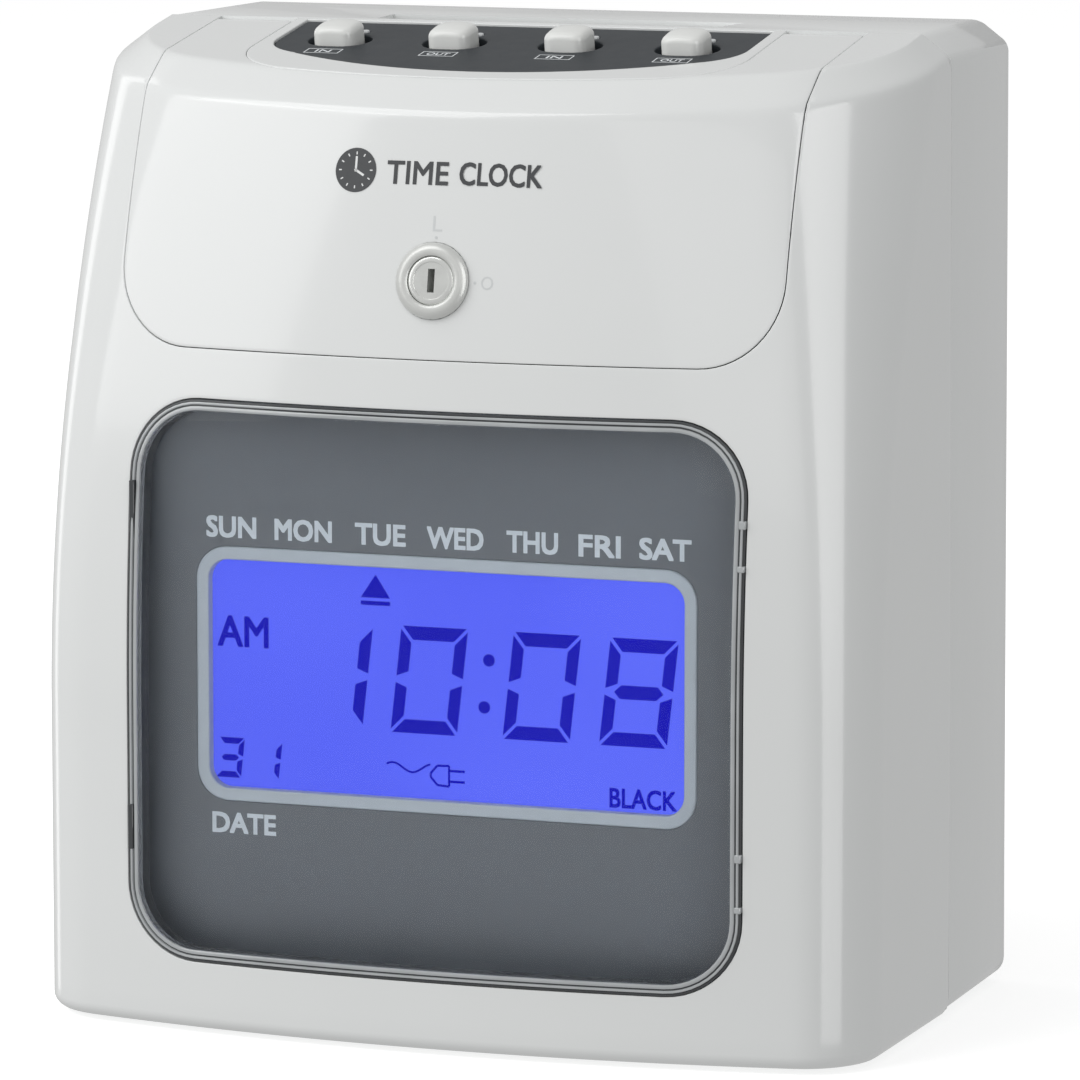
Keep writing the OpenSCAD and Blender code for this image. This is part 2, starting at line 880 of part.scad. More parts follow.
module power_jack() color("black") {
    translate([jack_x, 0, jack_z]) {
        difference() {
            union() {
                block(-6.7, 6.7, -rear_d + 0.2, -rear_d + 14, -5.2, 5.2);
                block(-9, 9, -rear_d + wall, -rear_d + wall + 1.5, -7, 7);
            }
            bolt(0, 0, -rear_d - 1, -rear_d + 10, 2.9);
        }
        bolt(0, 0, -rear_d + 1, -rear_d + 10.5, 1.05);
    }
}

module case_screws() color("silver")
    for (s = screw_spots) {
        bolt(s[0], s[1], -rear_d + 3, 15, 1.7);
        difference() {
            bolt(s[0], s[1], -rear_d + 0.8, -rear_d + 3, 3.3);
            translate([s[0], 0, s[1]])
                block(-2.4, 2.4, -rear_d, -rear_d + 1.6, -0.4, 0.4);
            translate([s[0], 0, s[1]])
                block(-0.4, 0.4, -rear_d, -rear_d + 1.6, -2.4, 2.4);
        }
    }

module rubber_feet() color("dimgray")
    for (spot = [[-84, 41], [84, 41], [-80, -52], [80, -52]]) {
        translate([spot[0], seam_y + spot[1], 0])
            cylinder(h = 2.5, r = 7);
    }

rear_body();
front_cover();
top_lid();
button_bezel();
button_panel();
hinge_pins();
button(0);  // button_1
button(1);  // button_2
button(2);  // button_3
button(3);  // button_4
led_lenses();
key_switches();
button_board();
display_lens();
display_mask();
screen_frame();
screen_glass();
backlight();
display_board();
lock_barrel();
lock_nut();
lock_plug();
lock_cam();
lock_strike();
card_throat();
chute_front();
chute_back();
card_stop();
card_sensor();
platen();
side_plate(-1);  // side_plate_left
side_plate(1);  // side_plate_right
cross_bars();
base_plate();
shaft_bushes();
feed_shaft();
feed_rollers();
feed_gear();
idler_shaft();
idler_rollers();
feed_motor();
motor_pinion();
guide_rod();
carriage_screw();
carriage_motor();
head_carriage();
print_head();
ribbon_cartridge();
ribbon_strip();
ribbon_knob();
main_board();
board_parts();
transformer_core();
transformer_coil();
backup_battery();
power_jack();
case_screws();
rubber_feet();
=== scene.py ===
import math

import bmesh
import bpy
import numpy as np
from mathutils import Matrix, Vector
from mathutils.geometry import delaunay_2d_cdt
from mathutils.kdtree import KDTree


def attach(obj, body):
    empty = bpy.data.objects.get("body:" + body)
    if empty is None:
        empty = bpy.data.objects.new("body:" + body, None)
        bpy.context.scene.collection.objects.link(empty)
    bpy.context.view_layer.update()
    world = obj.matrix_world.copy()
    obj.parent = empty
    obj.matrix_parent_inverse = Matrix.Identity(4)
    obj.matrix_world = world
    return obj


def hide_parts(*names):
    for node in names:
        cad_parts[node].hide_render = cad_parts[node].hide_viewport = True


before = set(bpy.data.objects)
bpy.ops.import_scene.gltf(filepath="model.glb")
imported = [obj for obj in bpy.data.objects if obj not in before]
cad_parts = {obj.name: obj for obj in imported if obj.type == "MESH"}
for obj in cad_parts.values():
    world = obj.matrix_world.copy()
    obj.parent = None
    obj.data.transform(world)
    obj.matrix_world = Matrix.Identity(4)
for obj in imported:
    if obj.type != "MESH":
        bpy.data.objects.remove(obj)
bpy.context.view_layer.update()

# ---------------------------------------------------------------- front cover
# The front half of the housing: a glossy white ABS moulding, 2.5 mm thick, with soft creases at the top.
# It is drawn flat, as an outline in P (sideways, then round the corner) and V (up the front and over the
# top), and then laid on the housing's own curved form, so every gap has the same small rounded edge.

MM = 0.001
SEAM_Y = 14.75
CASE_H, BASE_Z, TOP_SLOPE = 240.0, 1.2, 0.169
EDGE_R = 3.3
UPRIGHT_Z = 80.0
LOW_SECTION = (106.0, 82.0, 450.0, 20.0)
CREASE_SECTION = (104.9, 64.6, 228.0, 46.0)
TOP_SECTION = (97.3, 54.6, 222.0, 36.0)
CHAMFER_H = 5.6
LID_Z = 165.7
CORNER_P, END_P = 84.0, 171.0
LOW_V = BASE_Z + EDGE_R
CREASE_V = CASE_H - CHAMFER_H - TOP_SLOPE * CREASE_SECTION[1]
TOP_V = CREASE_V + 12.0
END_V = TOP_V + TOP_SECTION[1]
UNDER_V = LOW_V - EDGE_R * math.pi / 2
START_V = UNDER_V - (LOW_SECTION[1] - EDGE_R)
CREASE_SOFT = 1.5
WALL = 2.5
GAP = 0.2
WINDOW = (78.3, 17.8, 154.0, 18.5)


def mix(a, b, t):
    return a + (b - a) * t


def around(p, width, front, bow, corner):
    """Place on a level outline of the housing: x, and the distance forward of the seam."""
    corner_x = width - corner
    bow_f = front - bow
    corner_f = bow_f + math.sqrt((bow - corner) ** 2 - corner_x**2)
    meet_x = corner_x * bow / (bow - corner)
    side, x = (1 if p >= 0 else -1), abs(p)
    if x <= CORNER_P:
        if x <= meet_x:
            return p, bow_f + math.sqrt(bow * bow - x * x)
        return p, corner_f + math.sqrt(corner * corner - (x - corner_x) ** 2)
    if meet_x > CORNER_P:
        start, turn = math.asin(CORNER_P / bow), math.acos(corner_x / (bow - corner))
        bow_length = bow * (math.asin(meet_x / bow) - start)
    else:
        start, turn = 0, math.acos((CORNER_P - corner_x) / corner)
        bow_length = 0
    length = (x - CORNER_P) / (END_P - CORNER_P) * (bow_length + corner * turn + corner_f)
    if length < bow_length:
        angle = start + length / bow
        return side * bow * math.sin(angle), bow_f + bow * math.cos(angle)
    length -= bow_length
    if length < corner * turn:
        angle = turn - length / corner
        return side * (corner_x + corner * math.cos(angle)), corner_f + corner * math.sin(angle)
    return side * width, corner_f - (length - corner * turn)


def form_point(p, v):
    """Point of the housing's outside: x, distance forward of the seam, height."""
    if v < LOW_V:
        turn = min((LOW_V - v) / EDGE_R, math.pi / 2)
        inset = EDGE_R * (1 - math.cos(turn))
        x, f = around(p, *(size - inset for size in LOW_SECTION))
        under = max(0, (UNDER_V - v) / (UNDER_V - START_V))
        end_x = p / END_P * (LOW_SECTION[0] - EDGE_R)
        return mix(x, end_x, under), f * (1 - under), LOW_V - EDGE_R * math.sin(turn)
    if v <= CREASE_V:
        lift = max(0, v - UPRIGHT_Z) / (CREASE_V - UPRIGHT_Z)
        share = lift * lift
        shares = (lift, share, share, share)
        x, f = around(p, *(mix(a, b, t) for a, b, t in zip(LOW_SECTION, CREASE_SECTION, shares)))
        if v <= LID_Z:
            return x, f, v
        crease_z = CASE_H - CHAMFER_H - TOP_SLOPE * around(p, *CREASE_SECTION)[1]
        return x, f, mix(LID_Z, crease_z, (v - LID_Z) / (CREASE_V - LID_Z))
    top_x, top_f = around(p, *TOP_SECTION)
    if v < TOP_V:
        t = (v - CREASE_V) / (TOP_V - CREASE_V)
        x, f = around(p, *CREASE_SECTION)
        low_z, high_z = CASE_H - CHAMFER_H - TOP_SLOPE * f, CASE_H - TOP_SLOPE * top_f
        return mix(x, top_x, t), mix(f, top_f, t), mix(low_z, high_z, t)
    t = (v - TOP_V) / (END_V - TOP_V)
    f = top_f * (1 - t)
    if abs(p) <= CORNER_P:
        return p, f, CASE_H - TOP_SLOPE * f
    out = (abs(p) - CORNER_P) / (END_P - CORNER_P) * (TOP_SECTION[0] - CORNER_P)
    return mix(top_x, math.copysign(CORNER_P + out, p), t), f, CASE_H - TOP_SLOPE * f


def soft_point(p, v):
    """The same point with the two creases rounded off."""
    if min(abs(v - CREASE_V), abs(v - TOP_V)) > 2 * CREASE_SOFT:
        x, f, z = form_point(p, v)
        return Vector((x, SEAM_Y - f, z))
    total = Vector((0, 0, 0))
    for step, weight in ((-2, 1), (-1, 4), (0, 6), (1, 4), (2, 1)):
        x, f, z = form_point(p, v + step * CREASE_SOFT / 1.4)
        total += Vector((x, SEAM_Y - f, z)) * weight
    return total / 16


def housing_skin(p, v, depth):
    """Point a given depth under the housing's surface, in mm."""
    d = 0.05
    here = soft_point(p, v)
    across = soft_point(p + d, v) - soft_point(p - d, v) if abs(p) < END_P - 1 else None
    if across is None:
        across = soft_point(p, v) - soft_point(p - d, v) if p > 0 else soft_point(p + d, v) - soft_point(p, v)
    upward = soft_point(p, v + d) - soft_point(p, v - d)
    normal = across.cross(upward)
    if normal.length < 1e-7:
        normal = Vector((0, 0, 1)) if v > TOP_V - 1 else Vector((0, 0, -1))
    return here - normal.normalized() * depth


def inward(loop, distance):
    """The same loop moved sideways into the material, which lies on its left."""
    points = np.array(loop, float)
    ahead = np.roll(points, -1, 0) - points
    ahead /= np.linalg.norm(ahead, axis=1, keepdims=True)
    left = np.stack([-ahead[:, 1], ahead[:, 0]], 1)
    before = np.roll(left, 1, 0)
    miter = left + before
    miter /= (1 + (left * before).sum(1))[:, None]
    return points + miter * distance


def spaced(corners, step):
    """A closed loop with points no further apart than step."""
    loop = []
    for (x0, z0), (x1, z1) in zip(corners, corners[1:] + corners[:1]):
        count = max(1, math.ceil(math.dist((x0, z0), (x1, z1)) / step - 1e-6))
        loop += [(mix(x0, x1, i / count), mix(z0, z1, i / count)) for i in range(count)]
    return loop


def rounded_box(x1, z0, z1, r, steps=12):
    """Upright rectangle with rounded corners, anticlockwise."""
    centres = [(x1 - r, z0 + r, 270), (x1 - r, z1 - r, 0), (r - x1, z1 - r, 90), (r - x1, z0 + r, 180)]
    corners = []
    for cx, cz, start in centres:
        for i in range(steps + 1):
            angle = math.radians(start + 90 * i / steps)
            corners.append((cx + r * math.cos(angle), cz + r * math.sin(angle)))
    return corners


def is_inside(points, loops):
    """Whether each point is in the material: inside an odd number of loops."""
    odd = np.zeros(len(points), bool)
    for loop in loops:
        a = np.array(loop, float)
        b = np.roll(a, -1, 0)
        px, pz = points[:, :1], points[:, 1:]
        spans = (a[:, 1] > pz) != (b[:, 1] > pz)
        slope = np.where(b[:, 1] == a[:, 1], 1, b[:, 1] - a[:, 1])
        cross_x = (b[:, 0] - a[:, 0]) * (pz - a[:, 1]) / slope + a[:, 0]
        odd ^= (spans & (px < cross_x)).sum(1) % 2 == 1
    return odd


def moulding(loops, thick, rounding, columns, rows, skin=housing_skin, lift=0.0):
    """A closed shell: an outline and its holes, laid on a curved skin, with rounded outer edges."""
    turns = [math.pi / 8 * i for i in range(5)]
    rim = [(rounding * (1 - math.cos(a)), rounding * (1 - math.sin(a))) for a in turns]
    rim.append((rounding + 0.7, 0.0))
    points, edges, drops, first_rings = [], [], [], []
    for loop in loops:
        for k, (inset, drop) in enumerate(rim):
            ring = inward(loop, inset)
            start = len(points)
            numbers = list(range(start, start + len(ring)))
            if k == 0:
                first_rings.append(numbers)
            points += [tuple(q) for q in ring]
            drops += [drop] * len(ring)
            edges += list(zip(numbers, numbers[1:] + numbers[:1]))
    near = KDTree(len(points))
    for i, (p, v) in enumerate(points):
        near.insert((p, v, 0), i)
    near.balance()
    grid = np.array([(p, v) for p in columns for v in rows], float).reshape(-1, 2)
    grid = grid[is_inside(grid, loops)]
    grid = [tuple(q) for q in grid if near.find((q[0], q[1], 0))[2] > 0.9]
    points += grid
    drops += [0.0] * len(grid)
    places, _, triangles, sources, _, _ = delaunay_2d_cdt([Vector(q) for q in points], edges, [], 0, 1e-6)
    middles = np.array([(sum((places[i] for i in t), Vector((0, 0))) / 3)[:] for t in triangles])
    kept = is_inside(middles, loops)
    new_number = {old: i for i, source in enumerate(sources) for old in source}
    bm = bmesh.new()
    outer, inner = [], []
    for place, source in zip(places, sources):
        drop = drops[source[0]] if source else 0.0
        outer.append(bm.verts.new(skin(place[0], place[1], drop - lift) * MM))
        inner.append(bm.verts.new(skin(place[0], place[1], thick) * MM))
    for triangle, keep in zip(triangles, kept):
        if keep:
            bm.faces.new([outer[i] for i in triangle])
            bm.faces.new([inner[i] for i in reversed(triangle)])
    for ring in first_rings:
        ring = [new_number[i] for i in ring]
        for i, j in zip(ring, ring[1:] + ring[:1]):
            bm.faces.new([outer[j], outer[i], inner[i], inner[j]])
    bmesh.ops.delete(bm, geom=[v for v in bm.verts if not v.link_faces], context="VERTS")
    bmesh.ops.remove_doubles(bm, verts=bm.verts, dist=2e-6)
    bmesh.ops.dissolve_degenerate(bm, dist=1e-7, edges=bm.edges)
    bmesh.ops.recalc_face_normals(bm, faces=bm.faces)
    return bm


def new_object(name, data):
    """Puts an object of the data in the scene."""
    made = bpy.data.objects.new(name, data)
    bpy.context.scene.collection.objects.link(made)
    return made


def add_piece(name, bm, material, body, slot, *stands_for):
    """Makes an object of the mesh with its finish, hangs it on its body, and hides the parts it stands for."""
    mesh = bpy.data.meshes.new(name)
    bm.to_mesh(mesh)
    bm.free()
    mesh.shade_smooth()
    mesh.set_sharp_from_angle(angle=math.radians(38))
    piece = new_object(name, mesh)
    mesh.materials.append(material)
    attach(piece, body)
    if stands_for:
        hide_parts(*stands_for)
    return piece


def add_node(tree, kind, **inputs):
    """Adds a node to a material, with its inputs set."""
    node = tree.nodes.new(kind)
    for key, value in inputs.items():
        node.inputs[key.replace("_", " ")].default_value = value
    return node


def add_ramp(tree, source, low, high, stops):
    """Adds a colour ramp between two shades, driven by a noise."""
    ramp = tree.nodes.new("ShaderNodeValToRGB")
    for stop, position, shade in zip(ramp.color_ramp.elements, stops, (low, high)):
        stop.position, stop.color = position, (*shade, 1)
    tree.links.new(source.outputs["Fac"], ramp.inputs["Fac"])
    return ramp.outputs["Color"]


def add_relief(tree, source, bump, depth, shader):
    """Lets a noise raise the surface slightly."""
    relief = add_node(tree, "ShaderNodeBump", Strength=bump, Distance=depth)
    tree.links.new(source.outputs["Fac"], relief.inputs["Height"])
    tree.links.new(relief.outputs["Normal"], shader.inputs["Normal"])


def add_gloss(tree, source, low, high, shader):
    """Lets a noise vary the roughness between two values."""
    gloss = add_node(tree, "ShaderNodeMapRange", To_Min=low, To_Max=high)
    tree.links.new(source.outputs["Fac"], gloss.inputs["Value"])
    tree.links.new(gloss.outputs["Result"], shader.inputs["Roughness"])


def finish(name, colour, rough, vary=0.02, grain=90.0, bump=0.03, depth=0.00005, stretch=(1, 1, 1), **inputs):
    """A material with slight colour and gloss variation and a fine surface grain."""
    material = bpy.data.materials.new(name)
    material.use_nodes = True
    tree = material.node_tree
    shader = tree.nodes["Principled BSDF"]
    for key, value in inputs.items():
        shader.inputs[key.replace("_", " ")].default_value = value
    place = add_node(tree, "ShaderNodeTexCoord")
    mapping = add_node(tree, "ShaderNodeMapping", Scale=stretch)
    broad = add_node(tree, "ShaderNodeTexNoise", Scale=grain, Detail=4)
    fine = add_node(tree, "ShaderNodeTexNoise", Scale=grain * 14, Detail=3)
    tree.links.new(place.outputs["Object"], mapping.inputs["Vector"])
    for noise in (broad, fine):
        tree.links.new(mapping.outputs["Vector"], noise.inputs["Vector"])
    low, high = [c * (1 - vary) for c in colour], [min(1, c * (1 + vary)) for c in colour]
    tree.links.new(add_ramp(tree, broad, low, high, (0.3, 0.7)), shader.inputs["Base Color"])
    add_gloss(tree, broad, rough * 0.88, rough * 1.12, shader)
    add_relief(tree, fine, bump, depth, shader)
    return material


def lid_edge(play):
    """Outline of the lid's side and lower edges, from the top right down and round to the top left."""
    side, low, r = CORNER_P - play, LID_Z + play, 19.0
    turns = [math.radians(90 * i / 14) for i in range(15)]
    right = [(side - r + r * math.cos(a), low + r - r * math.sin(a)) for a in turns]
    return right + [(-x, v) for x, v in reversed(right)]


GLOSS = dict(vary=0.006, grain=35, bump=0.02, Coat_Weight=0.25, Coat_Roughness=0.05)
case_white = finish("gloss_white_abs", (0.80, 0.815, 0.81), 0.17, **GLOSS)

RIM_R = 0.22
side_p, low_v, high_v = END_P - GAP, START_V + GAP, END_V - GAP
cover_outline = [(-side_p, low_v), (side_p, low_v), (side_p, high_v), (CORNER_P, high_v)]
cover_outline += lid_edge(0) + [(-CORNER_P, high_v), (-side_p, high_v)]
window_hole = rounded_box(*WINDOW)[::-1]
side_columns = list(np.arange(CORNER_P + 1.2, END_P, 2.0))
cover_columns = [-p for p in side_columns[::-1]] + list(np.linspace(-CORNER_P, CORNER_P, 55)) + side_columns
crease_steps = (-3.2, -2.1, -1.3, -0.6, 0, 0.6, 1.3, 2.1, 3.2)
close_rows = [crease + step for crease in (CREASE_V, TOP_V) for step in crease_steps]
close_rows += [UNDER_V + step for step in (-0.8, 0.4, 1.4, 2.4, 3.4, 4.4, 5.3)]
plain_rows = [v for v in np.arange(START_V + 3, END_V, 3.4) if min(abs(v - r) for r in close_rows) > 1.2]
cover_rows = sorted(plain_rows + close_rows)
cover_loops = [spaced(cover_outline, 2.5), spaced(window_hole, 2.5)]
cover = moulding(cover_loops, WALL, RIM_R, cover_columns, cover_rows)
add_piece("front_shell", cover, case_white, "housing", "housing", "front_cover")

# ---------------------------------------------------------------- rear body
# The back half: the same white ABS, flat on top and behind, where it hangs on two keyholes or stands on a
# shelf. The card slot is moulded into its top, and the cooling slots and screw holes into its back.

REAR_D = 53.0


def joined(bm, verts):
    """Joins vertices in a ring, and gives its edges."""
    return [bm.edges.new(pair) for pair in zip(verts, verts[1:] + verts[:1])]


def rear_loop(bm, forward, low_w, high_w, inset):
    """One level outline of the rear body, as a ring of edges."""
    half = []
    for i in range(9):
        angle = math.radians(-90 + 90 * i / 8)
        half.append((low_w - 5 + (5 - inset) * math.cos(angle), BASE_Z + 5 + (5 - inset) * math.sin(angle)))
    half += [(high_w - inset, CASE_H - CHAMFER_H - inset * 0.4), (high_w - 7.6 - inset * 0.5, CASE_H - inset)]
    ring = half + [(-x, z) for x, z in reversed(half)]
    return joined(bm, [bm.verts.new(Vector((x, SEAM_Y - forward, z)) * MM) for x, z in ring])


def block(bm, x0, x1, f0, f1, z0, z1):
    """Adds a block between two places across, two distances forward of the seam, and two heights."""
    size = Matrix.Diagonal(((x1 - x0) * MM, (f1 - f0) * MM, (z1 - z0) * MM, 1))
    centre = Vector(((x0 + x1) / 2, SEAM_Y - (f0 + f1) / 2, (z0 + z1) / 2)) * MM
    return bmesh.ops.create_cube(bm, size=1, matrix=Matrix.Translation(centre) @ size)["verts"]


def bolt(bm, x, z, f0, f1, r):
    """Adds a round bar along the depth."""
    centre = Vector((x, SEAM_Y - (f0 + f1) / 2, z)) * MM
    lying = Matrix.Translation(centre) @ Matrix.Rotation(math.pi / 2, 4, "X")
    bmesh.ops.create_cone(
        bm, cap_ends=True, segments=40, radius1=r * MM, radius2=r * MM, depth=(f1 - f0) * MM, matrix=lying
    )


def cut(bm, cutters):
    """The mesh with the other mesh taken away."""
    meshes = []
    for part in (bm, cutters):
        mesh = bpy.data.meshes.new("cutting")
        part.to_mesh(mesh)
        part.free()
        meshes.append(new_object("cutting", mesh))
    boolean = meshes[0].modifiers.new("cut", "BOOLEAN")
    boolean.operation, boolean.solver, boolean.object = "DIFFERENCE", "EXACT", meshes[1]
    boolean.use_self = True
    result = bmesh.new()
    result.from_object(meshes[0], bpy.context.evaluated_depsgraph_get())
    for piece in meshes:
        bpy.data.objects.remove(piece)
    return result


def round_edges(bm, edges, width, segments=2, clamp=False):
    """Gives the edges a small round of a width in mm."""
    bmesh.ops.bevel(
        bm, geom=edges, offset=width * MM, offset_type="OFFSET", segments=segments, profile=0.5,
        affect="EDGES", material=-1, clamp_overlap=clamp,
    )


def soften(bm, width, angle=35.0):
    """Rounds every edge sharper than the angle."""
    bmesh.ops.remove_doubles(bm, verts=bm.verts, dist=1e-6)
    bmesh.ops.dissolve_limit(bm, angle_limit=math.radians(0.5), verts=bm.verts, edges=bm.edges)
    folds = [e for e in bm.edges if len(e.link_faces) == 2]
    round_edges(bm, [e for e in folds if e.calc_face_angle() > math.radians(angle)], width, clamp=True)


rear = bmesh.new()
rear_rings = [
    rear_loop(rear, 0, 106, 104.9, 0),
    rear_loop(rear, -REAR_D + 1.5, 104.6, 103.6, 0),
    rear_loop(rear, -REAR_D + 0.45, 104.1, 103.1, 0.35),
    rear_loop(rear, -REAR_D, 103.1, 102.1, 1.2),
]
for front_ring, back_ring in zip(rear_rings, rear_rings[1:]):
    bmesh.ops.bridge_loops(rear, edges=front_ring + back_ring)
bmesh.ops.contextual_create(rear, geom=rear_rings[-1])
bmesh.ops.recalc_face_normals(rear, faces=rear.faces)
upper_edges = [e for e in rear.edges if min(v.co.z for v in e.verts) > 200 * MM]
long_edges = [e for e in upper_edges if abs(e.verts[0].co.y - e.verts[1].co.y) > 0.3 * MM]
round_edges(rear, long_edges, 1.8, segments=4)
bmesh.ops.recalc_face_normals(rear, faces=rear.faces)
bmesh.ops.solidify(rear, geom=rear.faces[:], thickness=WALL * MM)
bmesh.ops.recalc_face_normals(rear, faces=rear.faces)
SCREW_X, SCREW_HEIGHTS = 99, (24, 204)
KEYHOLE_X, KEYHOLE_Z, KEYHOLE_RISE = 70, 196, 9
through_back = (-REAR_D - 1, -REAR_D + 4)
rear_cuts = bmesh.new()
slot_corners = [(-44.3, -4.4), (44.3, -4.4), (45.9, -19.6), (-45.9, -19.6)]
slot_face = rear_cuts.faces.new(
    [rear_cuts.verts.new(Vector((x, SEAM_Y - f, CASE_H - 10)) * MM) for x, f in slot_corners]
)
raised = bmesh.ops.extrude_face_region(rear_cuts, geom=[slot_face])["geom"]
raised = [g for g in raised if isinstance(g, bmesh.types.BMVert)]
bmesh.ops.translate(rear_cuts, vec=(0, 0, 20 * MM), verts=raised)
for x in (-SCREW_X, SCREW_X):
    for z in SCREW_HEIGHTS:
        bolt(rear_cuts, x, z, -REAR_D - 1, -REAR_D + 6, 4)
for x in (-KEYHOLE_X, KEYHOLE_X):
    bolt(rear_cuts, x, KEYHOLE_Z, *through_back, 4.6)
    bolt(rear_cuts, x, KEYHOLE_Z + KEYHOLE_RISE, *through_back, 2.3)
    block(rear_cuts, x - 2.3, x + 2.3, *through_back, KEYHOLE_Z, KEYHOLE_Z + KEYHOLE_RISE)
block(rear_cuts, -87, -73, *through_back, 18.5, 29.5)
for x in range(-40, 41, 8):
    block(rear_cuts, x, x + 3, *through_back, 36, 62)
bmesh.ops.recalc_face_normals(rear_cuts, faces=rear_cuts.faces)
rear = cut(rear, rear_cuts)
soften(rear, 0.3)
add_piece("rear_shell", rear, case_white, "housing", "housing", "rear_body")

# ---------------------------------------------------------------- lid
# The lockable lid over the ribbon: a separate white moulding that wraps over the upper front and reaches
# back past both sides of the buttons, where two pins hold it. A key lock keeps it shut.

HINGE_F, HINGE_R = 3.65, 3.3
HINGE_Z = CASE_H - TOP_SLOPE * HINGE_F - HINGE_R
ISLAND = (63.6, 54.4, 222.0, 21.0)
LOCK_Z, LOCK_HOLE_R = 184.3, 9.0
lid_white = finish("gloss_white_lid", (0.81, 0.825, 0.82), 0.15, **GLOSS)


def on_top(x, forward):
    """P and V of a place on the top face."""
    edge_f = around(x, *TOP_SECTION)[1]
    if forward > edge_f:
        return x, TOP_V - (forward - edge_f)
    return x, TOP_V + (END_V - TOP_V) * (1 - forward / edge_f)


def plan_edge(width, front, bow, corner, back, steps=12):
    """Outline seen from above, from the right end of the back edge, forward and round to the left end."""
    corner_x = width - corner
    bow_f = front - bow
    corner_f = bow_f + math.sqrt((bow - corner) ** 2 - corner_x**2)
    turn = math.acos(corner_x / (bow - corner))
    half = [(width, back)]
    for i in range(steps + 1):
        angle = turn * i / steps
        half.append((corner_x + corner * math.cos(angle), corner_f + corner * math.sin(angle)))
    for i in range(1, steps + 1):
        angle = mix(turn, math.pi / 2, i / steps)
        half.append((bow * math.cos(angle), bow_f + bow * math.sin(angle)))
    return half + [(-x, f) for x, f in reversed(half[:-1])]


island_gap = [on_top(x, f) for x, f in plan_edge(*(size + GAP for size in ISLAND), back=HINGE_F)]
lid_outline = [on_top(CORNER_P - GAP, HINGE_F)] + lid_edge(GAP) + [on_top(GAP - CORNER_P, HINGE_F)]
lid_outline = (lid_outline + island_gap[::-1])[::-1]
lock_turns = [math.radians(-15 * i) for i in range(24)]
lock_hole = [(LOCK_HOLE_R * math.cos(a), LOCK_Z + LOCK_HOLE_R * math.sin(a)) for a in lock_turns]
lid_columns = np.linspace(-CORNER_P, CORNER_P, 65)
lid_rows = [v for v in cover_rows if v > LID_Z]
lid = moulding([spaced(lid_outline, 2.2), lock_hole], WALL, RIM_R, lid_columns, lid_rows)
KNUCKLE_X, KNUCKLE_LENGTH = 74, 19.3
for side in (-1, 1):
    middle = Vector((side * KNUCKLE_X, SEAM_Y - HINGE_F, HINGE_Z)) * MM
    along = Matrix.Translation(middle) @ Matrix.Rotation(math.pi / 2, 4, "Y")
    knuckle = bmesh.ops.create_cone(
        lid, cap_ends=True, segments=48, radius1=HINGE_R * MM, radius2=HINGE_R * MM,
        depth=KNUCKLE_LENGTH * MM, matrix=along,
    )["verts"]
    edges = {e for v in knuckle for e in v.link_edges}
    round_edges(lid, [e for e in edges if abs(e.verts[0].co.x - e.verts[1].co.x) < 1e-6], 0.3)
add_piece("lid_cover", lid, lid_white, "lid", "lid_white", "top_lid")

# ---------------------------------------------------------------- button island
# The fixed white island between the lid's arms, part of the housing, with a sunk pocket for the dark panel.

PANEL = (60.3, 48.5, 100.0, 14.0)
PANEL_BACK = 1.6


def top_skin(x, forward, depth):
    """Point a given depth under the sloped top face. Its second number counts backwards, to keep the turn."""
    slant = math.hypot(1, TOP_SLOPE)
    forward = -forward / slant
    normal = Vector((0, -TOP_SLOPE / slant, 1 / slant))
    return Vector((x, SEAM_Y - forward, CASE_H - TOP_SLOPE * forward)) - normal * depth


def backwards(loop):
    """A plan outline in the panel's own frame, with the back at the top, anticlockwise."""
    return [(-x, -f) for x, f in loop]


slant = math.hypot(1, TOP_SLOPE)
island_outline = backwards(plan_edge(ISLAND[0], ISLAND[1] * slant, ISLAND[2], ISLAND[3], GAP))
pocket = backwards(plan_edge(*(size + 0.15 for size in PANEL), back=PANEL_BACK - 0.15))[::-1]
flat_columns = np.linspace(-64, 64, 40)
flat_rows = np.linspace(-57, 0, 19)
island_loops = [spaced(island_outline, 2.5), spaced(pocket, 2.5)]
island = moulding(island_loops, WALL + 0.8, 0.3, flat_columns, flat_rows, skin=top_skin)
add_piece("button_island", island, lid_white, "housing", "lid_white", "button_bezel")

# ---------------------------------------------------------------- button panel
# A dark grey satin moulding let into the island, half a millimetre down, with four oval wells for the
# buttons, a clear light pipe behind each, and a small printed box with the name of each key in front.

BUTTON_X = [(i - 1.5) * 29.8 for i in range(4)]
BUTTON_F = 19.5
WELL_W, WELL_D = 16, 12.5
LIGHT_X, LIGHT_BACK, LIGHT_R = 3.2, 8.6, 1.1
PANEL_SUNK = 0.5
panel_grey = finish(
    "satin_dark_grey", (0.034, 0.040, 0.046), 0.42, vary=0.06, grain=260, bump=0.12, depth=0.0001,
    Specular_IOR_Level=0.15,
)


def oval(cx, width, depth, steps=14):
    """A flat-sided oval about a button's middle, anticlockwise, in the panel's frame."""
    r, straight = depth / 2, (width - depth) / 2
    points = []
    for side in (1, -1):
        for i in range(steps + 1):
            angle = math.radians(-90 + 180 * i / steps)
            x, y = straight + r * math.cos(angle), r * math.sin(angle)
            points.append((cx + side * x, -BUTTON_F + side * y))
    return points


def ring_of(cx, cy, r, steps=20):
    """A circle of points, anticlockwise."""
    turns = [2 * math.pi * i / steps for i in range(steps)]
    return [(cx + r * math.cos(a), cy + r * math.sin(a)) for a in turns]


def sunk_skin(x, forward, depth):
    """Point a given depth under the panel's face."""
    return top_skin(x, forward, depth + PANEL_SUNK)


